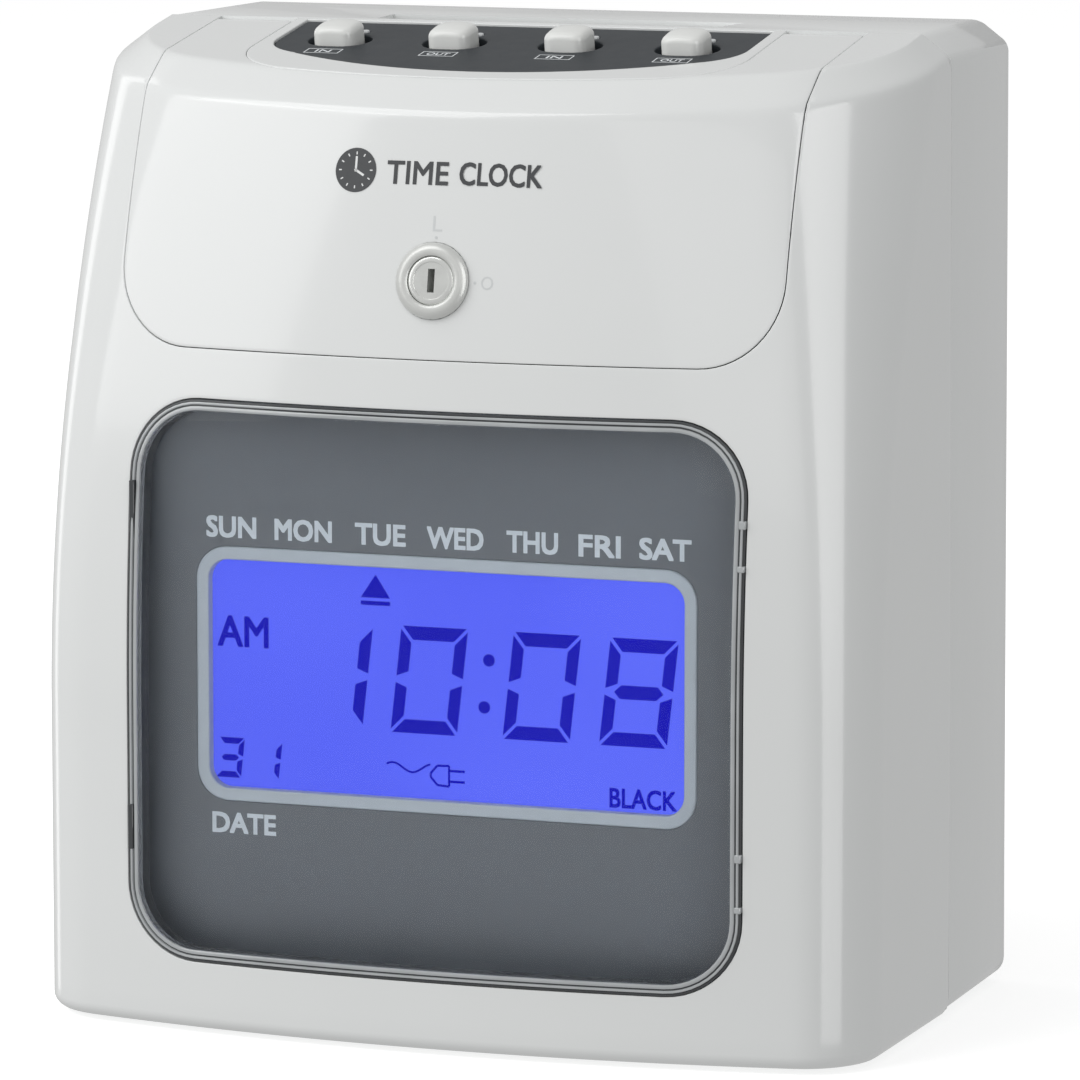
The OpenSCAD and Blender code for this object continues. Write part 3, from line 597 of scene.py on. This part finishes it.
panel_loops = [spaced(backwards(plan_edge(*PANEL, back=PANEL_BACK)), 2.5)]
for x in BUTTON_X:
    panel_loops.append(oval(x, WELL_W, WELL_D)[::-1])
    panel_loops.append(ring_of(x + LIGHT_X, -BUTTON_F + LIGHT_BACK, LIGHT_R + 0.15)[::-1])
panel = moulding(panel_loops, PANEL_SUNK + 1.4, 0.35, flat_columns, flat_rows, skin=sunk_skin)
for x in BUTTON_X:
    wall = [panel.verts.new(top_skin(a, b, 1.6) * MM) for a, b in oval(x, WELL_W + 1.4, WELL_D + 1.5)]
    deep = [panel.verts.new(top_skin(a, b, 4.8) * MM) for a, b in oval(x, WELL_W + 0.6, WELL_D + 0.7)]
    tray = bmesh.ops.bridge_loops(panel, edges=joined(panel, wall) + joined(panel, deep))["faces"]
    tray.append(panel.faces.new(deep))
    bmesh.ops.recalc_face_normals(panel, faces=tray)
    if tray[-1].normal.z < 0:
        bmesh.ops.reverse_faces(panel, faces=tray)
    bmesh.ops.solidify(panel, geom=tray, thickness=-0.6 * MM)
add_piece("button_tray", panel, panel_grey, "housing", "panel_grey", "button_panel")

# ---------------------------------------------------------------- buttons
# Four ivory keys of moulded plastic, soft-cornered and slightly crowned, standing in the wells. Each rests
# on a switch below and goes down 1.5 mm.

button_white = finish("ivory_key", (0.81, 0.82, 0.80), 0.22, vary=0.012, grain=120, bump=0.10, depth=0.00006)


KEY_RISE, KEY_HALF, KEY_BACK, KEY_FRONT = 4.2, 5.3, 4.7, 5.7


def key_skin(cx):
    """The skin of one key's crowned top, about its middle."""
    def skin(x, y, depth):
        crown = 0.7 * ((x - cx) / KEY_HALF) ** 2 + 0.5 * ((y + BUTTON_F) / 5.2) ** 2
        return top_skin(x, y, depth + crown * min(1, max(0, (5 - depth) / 4)) - KEY_RISE)
    return skin


for number, x in enumerate(BUTTON_X):
    key_edge = rounded_box(KEY_HALF, -BUTTON_F - KEY_FRONT, -BUTTON_F + KEY_BACK, 2.6)
    key_edge = spaced([(x + a, b) for a, b in key_edge], 1.0)
    key_rows = np.linspace(-BUTTON_F - 4.6, -BUTTON_F + 4.6, 10)
    key = moulding([key_edge], KEY_RISE + 2.4, 1.4, np.linspace(x - 5, x + 5, 12), key_rows, skin=key_skin(x))
    button = f"button_{number + 1}"
    add_piece(f"key_{number + 1}", key, button_white, button, "button_ivory", button)

# ---------------------------------------------------------------- key lights and key names
# The frosted ends of the light pipes, which stand up through the panel behind the keys, and the thin pale
# print on the panel: a box and a word in front of each key.

pipe_clear = finish("frosted_light_pipe", (0.62, 0.64, 0.65), 0.25, vary=0.03, grain=500, bump=0.1)
pipes = bmesh.new()
for x in BUTTON_X:
    middle = top_skin(x + LIGHT_X, -BUTTON_F + LIGHT_BACK, 3.8) * MM
    at = Matrix.Translation(middle) @ Matrix.Rotation(math.atan(TOP_SLOPE), 4, "X")
    pipe = bmesh.ops.create_cone(
        pipes, cap_ends=True, segments=24, radius1=LIGHT_R * MM, radius2=LIGHT_R * MM, depth=7.4 * MM, matrix=at
    )["verts"]
    edges = {e for v in pipe for e in v.link_edges}
    round_edges(pipes, [e for e in edges if e.calc_face_angle() > 1], 0.35, segments=3)
add_piece("key_lights", pipes, pipe_clear, "housing", "led_clear", "led_lenses")


def write(bm, words, height, place, width, bold=0.0):
    """Adds flat lettering of a given height and width, centred on the origin, then moved by place."""
    curve = bpy.data.curves.new("lettering", "FONT")
    curve.body = words
    curve.size = 1.0
    curve.extrude = 0.01
    curve.resolution_u = 3
    piece = new_object("lettering", curve)
    graph = bpy.context.evaluated_depsgraph_get()
    mesh = bpy.data.meshes.new_from_object(piece.evaluated_get(graph))
    bpy.data.objects.remove(piece)
    corners = np.array([v.co[:] for v in mesh.vertices])
    low, high = corners.min(0), corners.max(0)
    scale = Matrix.Diagonal((width / (high[0] - low[0]), height / (high[1] - low[1]), 1, 1))
    mesh.transform(scale @ Matrix.Translation((-(low[0] + high[0]) / 2, -(low[1] + high[1]) / 2, 0)))
    shifts = [(a * bold, b * bold) for a in (-1, 0, 1) for b in (-1, 0, 1)] if bold else [(0, 0)]
    for k, (a, b) in enumerate(shifts):
        shift = place @ Matrix.Translation((a, b, k * 0.002))
        mesh.transform(shift)
        bm.from_mesh(mesh)
        mesh.transform(shift.inverted())
    bpy.data.meshes.remove(mesh)


def facing_front(x, forward, z):
    """Frame of a print on an upright face: its x to the right and its y up."""
    at = Matrix.Translation(Vector((x, SEAM_Y - forward, z)) * MM)
    return at @ Matrix.Rotation(math.pi / 2, 4, "X") @ Matrix.Diagonal((MM, MM, MM, 1))


def on_panel(x, forward, rise):
    """Frame of a print on the sloped panel: its x to the right and its y to the back."""
    at = Matrix.Translation(top_skin(x, -forward, -rise) * MM)
    return at @ Matrix.Rotation(math.atan(TOP_SLOPE), 4, "X") @ Matrix.Diagonal((MM, MM, MM, 1))


def flat_shape(bm, outline, place, thick=0.02):
    """Adds a thin flat shape with the given corners."""
    face = bm.faces.new([bm.verts.new((x, z, 0)) for x, z in outline])
    moved = bmesh.ops.extrude_face_region(bm, geom=[face])["geom"]
    top = [g for g in moved if isinstance(g, bmesh.types.BMVert)]
    bmesh.ops.translate(bm, vec=(0, 0, thick), verts=top)
    verts = list({v for v in face.verts} | set(top))
    bmesh.ops.recalc_face_normals(bm, faces=list({f for v in verts for f in v.link_faces}))
    bmesh.ops.transform(bm, matrix=place, verts=verts)


print_grey = finish("pale_print", (0.80, 0.83, 0.85), 0.5, vary=0.03, grain=800, bump=0.05)
names = bmesh.new()
for x, word in zip(BUTTON_X, ("IN", "OUT", "IN", "OUT")):
    place = on_panel(x, 30.8, -PANEL_SUNK)
    write(names, word, 2.3, place, width=1.9 * len(word), bold=0.05)
    for a, b, w, h in ((0, 2, 4.5, 0.15), (0, -2, 4.5, 0.15), (-4.36, 0, 0.14, 2), (4.36, 0, 0.14, 2)):
        flat_shape(names, [(a - w, b - h), (a + w, b - h), (a + w, b + h), (a - w, b + h)], place)
add_piece("key_names", names, print_grey, "housing", "panel_grey")

# ---------------------------------------------------------------- display
# A dark grey printed sheet in a shallow tray behind the window, a pale raised border round the opening,
# and a blue backlit liquid crystal screen. The words on the sheet and the figures are plain clock reading.

MASK_F = 65.5
SCREEN_F = 63.3
SCREEN = (60.5, 58.7, 114.3)
mask_grey = finish("printed_grey_sheet", (0.102, 0.114, 0.130), 0.42, vary=0.03, grain=400, bump=0.06)
border_blue = finish("pale_border", (0.35, 0.395, 0.445), 0.38, vary=0.02, grain=300, bump=0.06)


def front_skin(forward):
    """The skin of an upright plane, a distance forward of the seam."""
    def skin(x, z, depth):
        return Vector((x, SEAM_Y - forward + depth, z))
    return skin


BORDER = (63.7, 55.5, 117.5, 8)
mask_loops = [spaced(rounded_box(80.6, 15.2, 156.2, 19.6), 4), spaced(rounded_box(*BORDER)[::-1], 4)]
sheet_columns, sheet_rows = np.linspace(-84, 84, 22), np.linspace(10, 160, 20)
mask = moulding(mask_loops, 1.2, 0.2, sheet_columns, sheet_rows, skin=front_skin(MASK_F))
add_piece("display_sheet", mask, mask_grey, "housing", "mask_grey", "display_mask")

# The tray walls are painted lighter than the sheet: painted light that fills the shade of the recess behind the
# window.
tray_painted_light = finish("grey_tray_painted_light", (0.175, 0.195, 0.222), 0.5, vary=0.03, grain=300, bump=0.06)
tray = bmesh.new()
tray_edge = spaced(rounded_box(79.2, 16.7, 155.0, 18.9), 3)
near_ring = [tray.verts.new(housing_skin(x, z, 2.7) * MM) for x, z in tray_edge]
deep_ring = [tray.verts.new(Vector((x, SEAM_Y - MASK_F - 0.05, z)) * MM) for x, z in tray_edge]
bmesh.ops.bridge_loops(tray, edges=joined(tray, near_ring) + joined(tray, deep_ring))
bmesh.ops.recalc_face_normals(tray, faces=tray.faces)
bmesh.ops.solidify(tray, geom=tray.faces[:], thickness=-0.8 * MM)
bmesh.ops.recalc_face_normals(tray, faces=tray.faces)
add_piece("display_surround", tray, tray_painted_light, "housing", "mask_grey")

border_loops = [spaced(rounded_box(*BORDER), 4), spaced(rounded_box(*SCREEN, 5)[::-1], 4)]
border = moulding(border_loops, 3.0, 0.5, [], [], skin=front_skin(MASK_F + 0.35))
add_piece("screen_border", border, border_blue, "housing", "frame_blue_grey", "screen_frame")

words = bmesh.new()
DAYS = (
    ("SUN", -54.6, 12.6), ("MON", -36.0, 14.4), ("TUE", -16.2, 12.6), ("WED", 2.9, 14.0), ("THU", 22.4, 12.6),
    ("FRI", 39.3, 10.2), ("SAT", 55.7, 12.6),
)
for word, x, width in DAYS:
    write(words, word, 4.9, facing_front(x, MASK_F + 0.01, 122.2), width=width, bold=0.2)
write(words, "DATE", 4.7, facing_front(-51.7, MASK_F + 0.01, 50.1), width=16.2, bold=0.2)
word_blue = finish("pale_blue_print", (0.47, 0.52, 0.57), 0.5, vary=0.03, grain=800, bump=0.05)
add_piece("sheet_words", words, word_blue, "housing", "frame_blue_grey")


def glow(name, colour, dark, strength, grain):
    """A lit material with a soft unevenness."""
    material = finish(name, [c * 0.12 for c in colour], 0.35, vary=0.05, grain=grain, bump=0.02)
    tree = material.node_tree
    shader = tree.nodes["Principled BSDF"]
    shader.inputs["Emission Strength"].default_value = strength
    shader.inputs["Specular IOR Level"].default_value = 0.0
    noise = add_node(tree, "ShaderNodeTexNoise", Scale=9, Detail=1)
    place = add_node(tree, "ShaderNodeTexCoord")
    tree.links.new(place.outputs["Object"], noise.inputs["Vector"])
    tree.links.new(add_ramp(tree, noise, dark, colour, (0.35, 0.65)), shader.inputs["Emission Color"])
    return material


screen_lit = glow("blue_backlit_crystal", (0.120, 0.158, 0.94), (0.092, 0.122, 0.87), 0.95, 60)
screen = bmesh.new()
block(screen, -62.5, 62.5, SCREEN_F - 2.6, SCREEN_F, 56.7, 116.3)
round_edges(screen, screen.edges[:], 0.3)
add_piece("screen_crystal", screen, screen_lit, "housing", "screen_blue", "screen_glass")

FIGURE_LEAN = math.tan(math.radians(6.5))
BARS = {"0": "abcdef", "1": "bc", "3": "abgcd", "8": "abcdefg"}
figures = bmesh.new()
glass_front = facing_front(0, SCREEN_F + 0.01, 0)


def figure(digit, x, z, width, height, bar):
    """One seven-bar figure, its lower left corner at x, z."""
    mid, slip, half, inner = height / 2, bar * 0.12, bar / 2, bar * 0.9
    tip, shoulder = bar * 0.7, bar * 1.2
    spots = {
        "a": [(slip, height), (width - slip, height), (width - bar, height - bar), (bar, height - bar)],
        "d": [(slip, 0), (bar, bar), (width - bar, bar), (width - slip, 0)],
        "g": [(tip, mid), (shoulder, mid + half), (width - shoulder, mid + half),
              (width - tip, mid), (width - shoulder, mid - half), (shoulder, mid - half)],
        "f": [(0, mid + slip * 2), (0, height - slip * 2),
              (inner, height - bar * 1.25), (inner, mid + bar * 0.6)],
        "e": [(0, slip * 2), (0, mid - slip * 2), (inner, mid - bar * 0.6), (inner, bar * 1.25)],
    }
    spots["b"] = [(width - a, b) for a, b in spots["f"]]
    spots["c"] = [(width - a, b) for a, b in spots["e"]]
    for name in BARS[digit]:
        flat_shape(figures, [(x + a + b * FIGURE_LEAN, z + b) for a, b in spots[name]], glass_front)


for digit, x in (("0", -14.6), ("0", 14.0), ("8", 38.4)):
    figure(digit, x, 74.4, 17.0, 25.9, 3.3)
figure("1", -37.2, 75.0, 15.4, 24.8, 3.3)
figure("3", -60.0, 60.8, 6.6, 9.8, 1.5)
figure("1", -50.2, 60.8, 6.6, 9.4, 1.5)
for x, z in ((10.6, 93.1), (9.4, 81.7)):
    flat_shape(figures, ring_of(x, z, 1.5), glass_front)
flat_shape(figures, [(-22.1, 106.6), (-14.6, 106.6), (-18.3, 112.2)], glass_front)
flat_shape(figures, [(-22.1, 104.8), (-14.6, 104.8), (-14.6, 105.8), (-22.1, 105.8)], glass_front)
write(figures, "AM", 7.2, facing_front(-52.6, SCREEN_F + 0.01, 96.6), width=12.9, bold=0.18)
write(figures, "BLACK", 4.6, facing_front(49.5, SCREEN_F + 0.01, 61.9), width=16.6, bold=0.13)


icon_front = facing_front(0, SCREEN_F + 0.012, 0)


def stroke(points, width):
    """A line of even width through the points, on the screen."""
    for (x0, z0), (x1, z1) in zip(points, points[1:]):
        length = math.dist((x0, z0), (x1, z1))
        nx, nz = (z0 - z1) / length * width / 2, (x1 - x0) / length * width / 2
        corners = [(x0 - nx, z0 - nz), (x1 - nx, z1 - nz), (x1 + nx, z1 + nz), (x0 + nx, z0 + nz)]
        flat_shape(figures, corners, icon_front)


wave = [(-15.6 + i * 0.8, 66.0 + 1.1 * math.sin(i * 0.5 + 0.6)) for i in range(15)]
stroke(wave, 0.5)
stroke([(-4.3, 65.0), (-2.6, 66.9), (0.4, 67.0), (0.4, 62.0), (-2.6, 62.2), (-4.3, 64.1), (-4.3, 65.0)], 0.55)
for z in (63.2, 65.8):
    stroke([(0.4, z), (4.4, z)], 0.6)
figure_blue = glow("dark_blue_figures", (0.010, 0.010, 0.47), (0.008, 0.008, 0.41), 0.95, 60)
add_piece("screen_figures", figures, figure_blue, "housing", "screen_blue")

# ---------------------------------------------------------------- window
# A clear acrylic window snapped into the front cover from outside. Its polished edge is two raised beads
# half a millimetre proud, painted pale grey as painted light for the light caught in a clear edge, on a seat
# painted dark as painted shade of the gaps round and between them, with dark clips on the left and small
# tabs on the right.


def clear_finish(name, colour, index):
    """Polished acrylic, with the faint unevenness of a moulded pane."""
    material = bpy.data.materials.new(name)
    material.use_nodes = True
    tree = material.node_tree
    shader = tree.nodes["Principled BSDF"]
    shader.inputs["Base Color"].default_value = (*colour, 1)
    shader.inputs["Transmission Weight"].default_value = 1.0
    shader.inputs["IOR"].default_value = index
    place = add_node(tree, "ShaderNodeTexCoord")
    noise = add_node(tree, "ShaderNodeTexNoise", Scale=14)
    tree.links.new(place.outputs["Object"], noise.inputs["Vector"])
    add_gloss(tree, noise, 0.0, 0.004, shader)
    add_relief(tree, noise, 0.02, 0.0002, shader)
    return material


pane_edge = rounded_box(75.3, 20.8, 151.0, 15.6)
pane_rows, pane_columns = np.linspace(20, 152, 34), np.linspace(-76, 76, 40)
pane = moulding([spaced(pane_edge, 2.5)], 2.2, 0.35, pane_columns, pane_rows, lift=0.2)
pane_clear = clear_finish("clear_pane", (0.97, 0.98, 0.985), 1.14)
add_piece("clear_window", pane, pane_clear, "housing", "clear_window", "display_lens")


def beading(bm, loop, profile):
    """Adds a closed bead of one cross-section, (inset, depth), run round a loop on the housing's form."""
    rings = []
    for inset, depth in profile:
        verts = [bm.verts.new(housing_skin(p, v, depth) * MM) for p, v in inward(loop, inset)]
        rings.append(joined(bm, verts))
    for ring, following in zip(rings, rings[1:] + rings[:1]):
        bmesh.ops.bridge_loops(bm, edges=ring + following)
    bmesh.ops.recalc_face_normals(bm, faces=bm.faces)


rim_loop = spaced(rounded_box(78.05, 18.05, 153.75, 18.25), 2.5)
rim = bmesh.new()
outer_bead = [(0.62, 5.0), (0.62, -0.2), (0.72, -0.42), (0.95, -0.5), (1.2, -0.42), (1.3, -0.2), (1.3, 5.0)]
inner_bead = [(1.62, 5.0), (1.62, 0.0), (1.72, -0.2), (2.0, -0.3), (2.4, -0.3), (2.62, -0.2), (2.7, 0.0)]
inner_bead.append((2.7, 5.0))
beading(rim, rim_loop, outer_bead)
beading(rim, rim_loop, inner_bead)
# The beads are an opaque pale grey: painted light standing for the light a clear edge catches, under a real
# glossy coat.
rim_painted_light = finish(
    "polished_rim_painted_light", (0.44, 0.46, 0.47), 0.07, vary=0.10, grain=60, bump=0.05, Coat_Weight=1.0,
    Coat_Roughness=0.02,
)
add_piece("window_rim", rim, rim_painted_light, "housing", "clear_window")

# The seat is painted shade: its near-black stands for the dark gaps outside and between the beads. The clips on
# the left take the same dark.
gap_shade_and_clip_dark = finish("painted_gap_shade_and_dark_clips", (0.060, 0.064, 0.068), 0.12, vary=0.05, grain=90, bump=0.04)
seat = bmesh.new()
beading(seat, rim_loop, [(0.0, 5.2), (0.0, 0.1), (0.2, -0.1), (0.5, -0.1), (0.55, 0.2), (2.7, 0.2), (2.8, 5.2)])
add_piece("rim_seat", seat, gap_shade_and_clip_dark, "housing", "mask_grey")

clips, tabs = bmesh.new(), bmesh.new()
CLIP_HEIGHTS = ((119.5, 133.5), (44, 55))
TAB_HEIGHTS = ((129.0, 131.0), (119.0, 120.5), (50.5, 52.5), (38.5, 40.0))
for bm, x0, x1, heights in ((clips, -77.9, -76.6, CLIP_HEIGHTS), (tabs, 76.4, 78.1, TAB_HEIGHTS)):
    for z0, z1 in heights:
        face_f = SEAM_Y - housing_skin((x0 + x1) / 2, (z0 + z1) / 2, 0).y
        block(bm, x0, x1, face_f - 4, face_f + 0.7, z0, z1)
    round_edges(bm, bm.edges[:], 0.2, segments=1)
add_piece("window_clips", clips, gap_shade_and_clip_dark, "housing", "mask_grey")
# The clear tabs share the beads' pale grey, the same painted light of a lit clear edge.
add_piece("window_tabs", tabs, rim_painted_light, "housing", "clear_window")

# ---------------------------------------------------------------- lock
# A cam lock through the lid: a pale satin ring round the barrel, and a plug with an upright key slot that
# turns a quarter. The two printed letters on the lid say which way is locked and which way is open.

LOCK_F = form_point(0, LOCK_Z)[1]
LOCK_TILT = math.radians(10)
lock_middle = Vector((0, SEAM_Y - LOCK_F, LOCK_Z)) * MM
at_lock = Matrix.Translation(lock_middle) @ Matrix.Rotation(math.pi / 2 - LOCK_TILT, 4, "X")
lock_satin = finish("satin_lock", (0.66, 0.67, 0.65), 0.32, vary=0.02, grain=300, bump=0.08, Metallic=0.25)
lock_bright = finish("bright_plug", (0.74, 0.75, 0.73), 0.24, vary=0.04, grain=300, bump=0.08, Metallic=0.6)


def turned(bm, profile):
    """Spins a profile of (radius, height) about the lock's axis."""
    verts = [bm.verts.new((r * MM, 0, h * MM)) for r, h in profile]
    bmesh.ops.spin(
        bm, geom=verts + joined(bm, verts), cent=(0, 0, 0), axis=(0, 0, 1), dvec=(0, 0, 0), steps=64,
        angle=2 * math.pi, use_merge=True, use_normal_flip=False, use_duplicate=False,
    )
    bmesh.ops.remove_doubles(bm, verts=bm.verts, dist=1e-6)
    bmesh.ops.recalc_face_normals(bm, faces=bm.faces)


ring = bmesh.new()
ring_profile = [
    (5.9, -16), (5.9, 1.5), (6.1, 1.75), (6.6, 1.9), (7.4, 1.9), (7.9, 1.75), (8.7, 1.2), (9.05, 0.7),
    (9.1, 0.3), (9.1, 0.05), (7.9, 0.05), (7.9, -16),
]
turned(ring, ring_profile)
bmesh.ops.transform(ring, matrix=at_lock, verts=ring.verts)
add_piece("lock_ring", ring, lock_satin, "lid", "lock_chrome", "lock_barrel")

plug = bmesh.new()
plug_profile = [
    (0.001, -17), (0.001, 1.15), (4.4, 1.15), (4.5, 1.35), (5.3, 1.4), (5.6, 1.3), (5.8, 1.05), (5.8, -17),
]
turned(plug, plug_profile)
keyway = bmesh.new()
keyway_size = Matrix.Diagonal((1.7 * MM, 5.6 * MM, 12 * MM, 1))
bmesh.ops.create_cube(keyway, size=1, matrix=Matrix.Translation((0, 0, -3 * MM)) @ keyway_size)
plug = cut(plug, keyway)
bmesh.ops.transform(plug, matrix=at_lock, verts=plug.verts)
add_piece("lock_core", plug, lock_bright, "lock", "lock_chrome", "lock_plug")


def on_lid(x, z, rise=0.02):
    """Frame of a print on the lid's curved front."""
    here = housing_skin(x, z, -rise) * MM
    out = (housing_skin(x, z, -1) - housing_skin(x, z, 0)).normalized()
    right = Vector((1, 0, 0)) - out * out.x
    right.normalize()
    turn = Matrix((right, out.cross(right), out)).transposed().to_4x4()
    return Matrix.Translation(here) @ turn @ Matrix.Diagonal((MM, MM, MM, 1))


letters = bmesh.new()
write(letters, "L", 3.6, on_lid(0.4, 197.6), width=2.4)
write(letters, "O", 3.2, on_lid(13.6, 184.2), width=3.0)
flat_shape(letters, ring_of(0, 0, 0.35, 12), on_lid(0.2, 194.4), 0.05)
flat_shape(letters, ring_of(0, 0, 0.35, 12), on_lid(10.6, 184.2), 0.05)
letter_white = finish("raised_white_letters", (0.66, 0.68, 0.68), 0.3, vary=0.02, grain=400)
add_piece("lock_letters", letters, letter_white, "lid", "lid_white")

# ---------------------------------------------------------------- mark on the lid
# A plain printed clock face, a dark disc with white hands and hour marks, and the words TIME CLOCK in dark
# grey ink. The print lies on the lid's curved front.

mark = bmesh.new()
ink = finish("dark_ink", (0.055, 0.058, 0.062), 0.45, vary=0.05, grain=600, bump=0.04)
MARK_X, MARK_Z, MARK_R = -21.6, 209.2, 5.3
flat_shape(mark, ring_of(0, 0, MARK_R, 64), on_lid(MARK_X, MARK_Z), 0.06)
face_print = bmesh.new()
bars = [(hour * 30, 3.7, 4.4, 0.3) for hour in range(12)] + [(0, -0.4, 3.3, 0.55), (120, -0.4, 2.5, 0.55)]
for angle, low, high, wide in bars:
    a = math.radians(angle)
    corners = [(-wide / 2, low), (wide / 2, low), (wide / 2, high), (-wide / 2, high)]
    c, s = math.cos(a), math.sin(a)
    flat_shape(face_print, [(x * c + z * s, z * c - x * s) for x, z in corners], on_lid(MARK_X, MARK_Z, 0.09))
add_piece("lid_mark_face", face_print, lid_white, "lid", "lid_white")
write(mark, "TIME", 5.3, on_lid(-5.6, MARK_Z, 0.05), width=15.4, bold=0.12)
write(mark, "CLOCK", 5.3, on_lid(15.2, MARK_Z, 0.05), width=20.2, bold=0.12)
add_piece("lid_mark", mark, ink, "lid", "lid_white")

# ---------------------------------------------------------------- works inside
# The parts that show through the open lid, the slot and the cooling slots keep their own shapes. Steel,
# brass, rubber, circuit board and moulded parts each have their own finish.

inner_finishes = {
    "hinge_steel": (
        ("hinge_pins", "feed_shaft", "idler_shaft", "guide_rod", "carriage_screw", "cross_bars"),
        dict(colour=(0.55, 0.56, 0.57), rough=0.22, Metallic=1.0, stretch=(0.2, 1, 1)),
    ),
    "zinc_sheet": (
        ("side_plate_left", "side_plate_right", "base_plate", "chute_front", "chute_back", "lock_strike",
         "lock_cam", "lock_nut"),
        dict(colour=(0.50, 0.51, 0.52), rough=0.38, vary=0.08, grain=60, Metallic=1.0),
    ),
    "moulded_throat": (
        ("card_throat",),
        dict(colour=(0.74, 0.75, 0.745), rough=0.3, grain=60),
    ),
    "black_plastic": (
        ("key_switches", "card_stop", "card_sensor", "head_carriage", "print_head", "ribbon_cartridge",
         "power_jack", "backup_battery"),
        dict(colour=(0.022, 0.023, 0.025), rough=0.45, vary=0.1, grain=300, bump=0.15),
    ),
    "circuit_board": (
        ("button_board", "display_board", "main_board"),
        dict(colour=(0.018, 0.16, 0.07), rough=0.35, vary=0.2, grain=700, bump=0.2),
    ),
    "chip_black": (
        ("board_parts",),
        dict(colour=(0.03, 0.03, 0.032), rough=0.5, vary=0.3, grain=200, bump=0.2),
    ),
    "diffuser_white": (
        ("backlight",),
        dict(colour=(0.85, 0.88, 0.92), rough=0.4, grain=100),
    ),
    "grey_rubber": (
        ("feed_rollers", "platen"),
        dict(colour=(0.05, 0.05, 0.052), rough=0.75, vary=0.1, grain=500, bump=0.3),
    ),
    "white_gears": (
        ("feed_gear", "idler_rollers", "ribbon_knob"),
        dict(colour=(0.70, 0.70, 0.67), rough=0.38, grain=200),
    ),
    "sintered_bronze": (
        ("shaft_bushes", "motor_pinion"),
        dict(colour=(0.46, 0.28, 0.10), rough=0.4, vary=0.12, grain=600, bump=0.2, Metallic=1.0),
    ),
    "motor_can": (
        ("feed_motor", "carriage_motor"),
        dict(colour=(0.42, 0.43, 0.44), rough=0.3, Metallic=1.0),
    ),
    "inked_ribbon": (
        ("ribbon_strip",),
        dict(colour=(0.015, 0.014, 0.03), rough=0.85, vary=0.2, grain=1500, bump=0.4),
    ),
    "laminated_core": (
        ("transformer_core",),
        dict(colour=(0.22, 0.22, 0.23), rough=0.45, vary=0.15, grain=900, stretch=(1, 6, 1), Metallic=0.9),
    ),
    "wound_copper": (
        ("transformer_coil",),
        dict(colour=(0.55, 0.22, 0.08), rough=0.35, vary=0.2, grain=900, stretch=(1, 1, 5), Metallic=0.9),
    ),
    "case_screw_steel": (
        ("case_screws",),
        dict(colour=(0.45, 0.46, 0.47), rough=0.35, grain=300, Metallic=1.0),
    ),
    "foot_rubber": (
        ("rubber_feet",),
        dict(colour=(0.03, 0.03, 0.032), rough=0.8, vary=0.1, grain=700, bump=0.3),
    ),
}
for name, (nodes, look) in inner_finishes.items():
    material = finish(name, **look)
    for node in nodes:
        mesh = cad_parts[node].data
        mesh.materials.clear()
        mesh.materials.append(material)

# ---------------------------------------------------------------- floor, light and camera
# A pale floor, broad soft light from the left and above, and two tall soft panels at the sides. The right
# one is seen in gloss only, and draws the upright highlight on the housing's corner.

floor_mesh = bmesh.new()
bmesh.ops.create_grid(floor_mesh, x_segments=1, y_segments=1, size=12)
floor_data = bpy.data.meshes.new("floor")
floor_mesh.to_mesh(floor_data)
floor_mesh.free()
floor = new_object("floor", floor_data)
floor_white = finish("pale_floor", (0.90, 0.90, 0.90), 0.9, vary=0.003, grain=2, bump=0.0)
floor_shader = floor_white.node_tree.nodes["Principled BSDF"]
floor_shader.inputs["Emission Color"].default_value = (1, 1, 1, 1)
floor_shader.inputs["Emission Strength"].default_value = 0.5
floor_shader.inputs["Specular IOR Level"].default_value = 0.0
floor_data.materials.append(floor_white)
floor.visible_diffuse = False
floor.visible_glossy = False

world = bpy.data.worlds.new("studio")
world.use_nodes = True
world_tree = world.node_tree
backdrop = world_tree.nodes["Background"]
backdrop.inputs["Color"].default_value = (1, 1, 1, 1)
backdrop.inputs["Strength"].default_value = 0.53
bright = add_node(world_tree, "ShaderNodeBackground", Strength=1.0)
seen = add_node(world_tree, "ShaderNodeLightPath")
blend = add_node(world_tree, "ShaderNodeMixShader")
world_tree.links.new(seen.outputs["Is Camera Ray"], blend.inputs["Fac"])
world_tree.links.new(backdrop.outputs["Background"], blend.inputs[1])
world_tree.links.new(bright.outputs["Background"], blend.inputs[2])
world_tree.links.new(blend.outputs["Shader"], world_tree.nodes["World Output"].inputs["Surface"])
bpy.context.scene.world = world


def soft_light(name, azimuth, height, distance, width, tall, power, sheen_only=False):
    """A soft panel of light round the object, facing it. Azimuth 0 is straight in front."""
    light = bpy.data.lights.new(name, "AREA")
    light.shape, light.size, light.size_y, light.energy = "RECTANGLE", width, tall, power
    lamp = new_object(name, light)
    angle = math.radians(azimuth)
    lamp.location = (distance * math.sin(angle), -distance * math.cos(angle), height)
    lamp.rotation_euler = (Vector((0, 0, 0.12)) - lamp.location).to_track_quat("-Z", "Y").to_euler()
    lamp.visible_diffuse = not sheen_only


soft_light("key_panel", -42, 1.9, 1.5, 1.5, 1.3, 15.8)
soft_light("low_left_panel", -50, 0.9, 1.9, 1.2, 1.2, 8.2)
soft_light("front_panel", 15, 0.9, 2.2, 1.2, 1.2, 2.7)
soft_light("right_panel", 59, 0.45, 1.3, 0.72, 1.6, 10.5, sheen_only=True)
soft_light("left_strip", -112, 0.45, 1.3, 0.25, 1.6, 1.5)

camera_data = bpy.data.cameras.new("camera")
camera_data.sensor_width, camera_data.lens, camera_data.clip_end = 36, 238.6, 50
camera = new_object("camera", camera_data)
camera.location = (0.6051, -1.6211, 0.3634)
aim = Vector((0.00261, 0.00775, 0.1140))
camera.rotation_euler = (aim - camera.location).to_track_quat("-Z", "Y").to_euler()
bpy.context.scene.camera = camera
bpy.context.scene.view_settings.view_transform = "Standard"
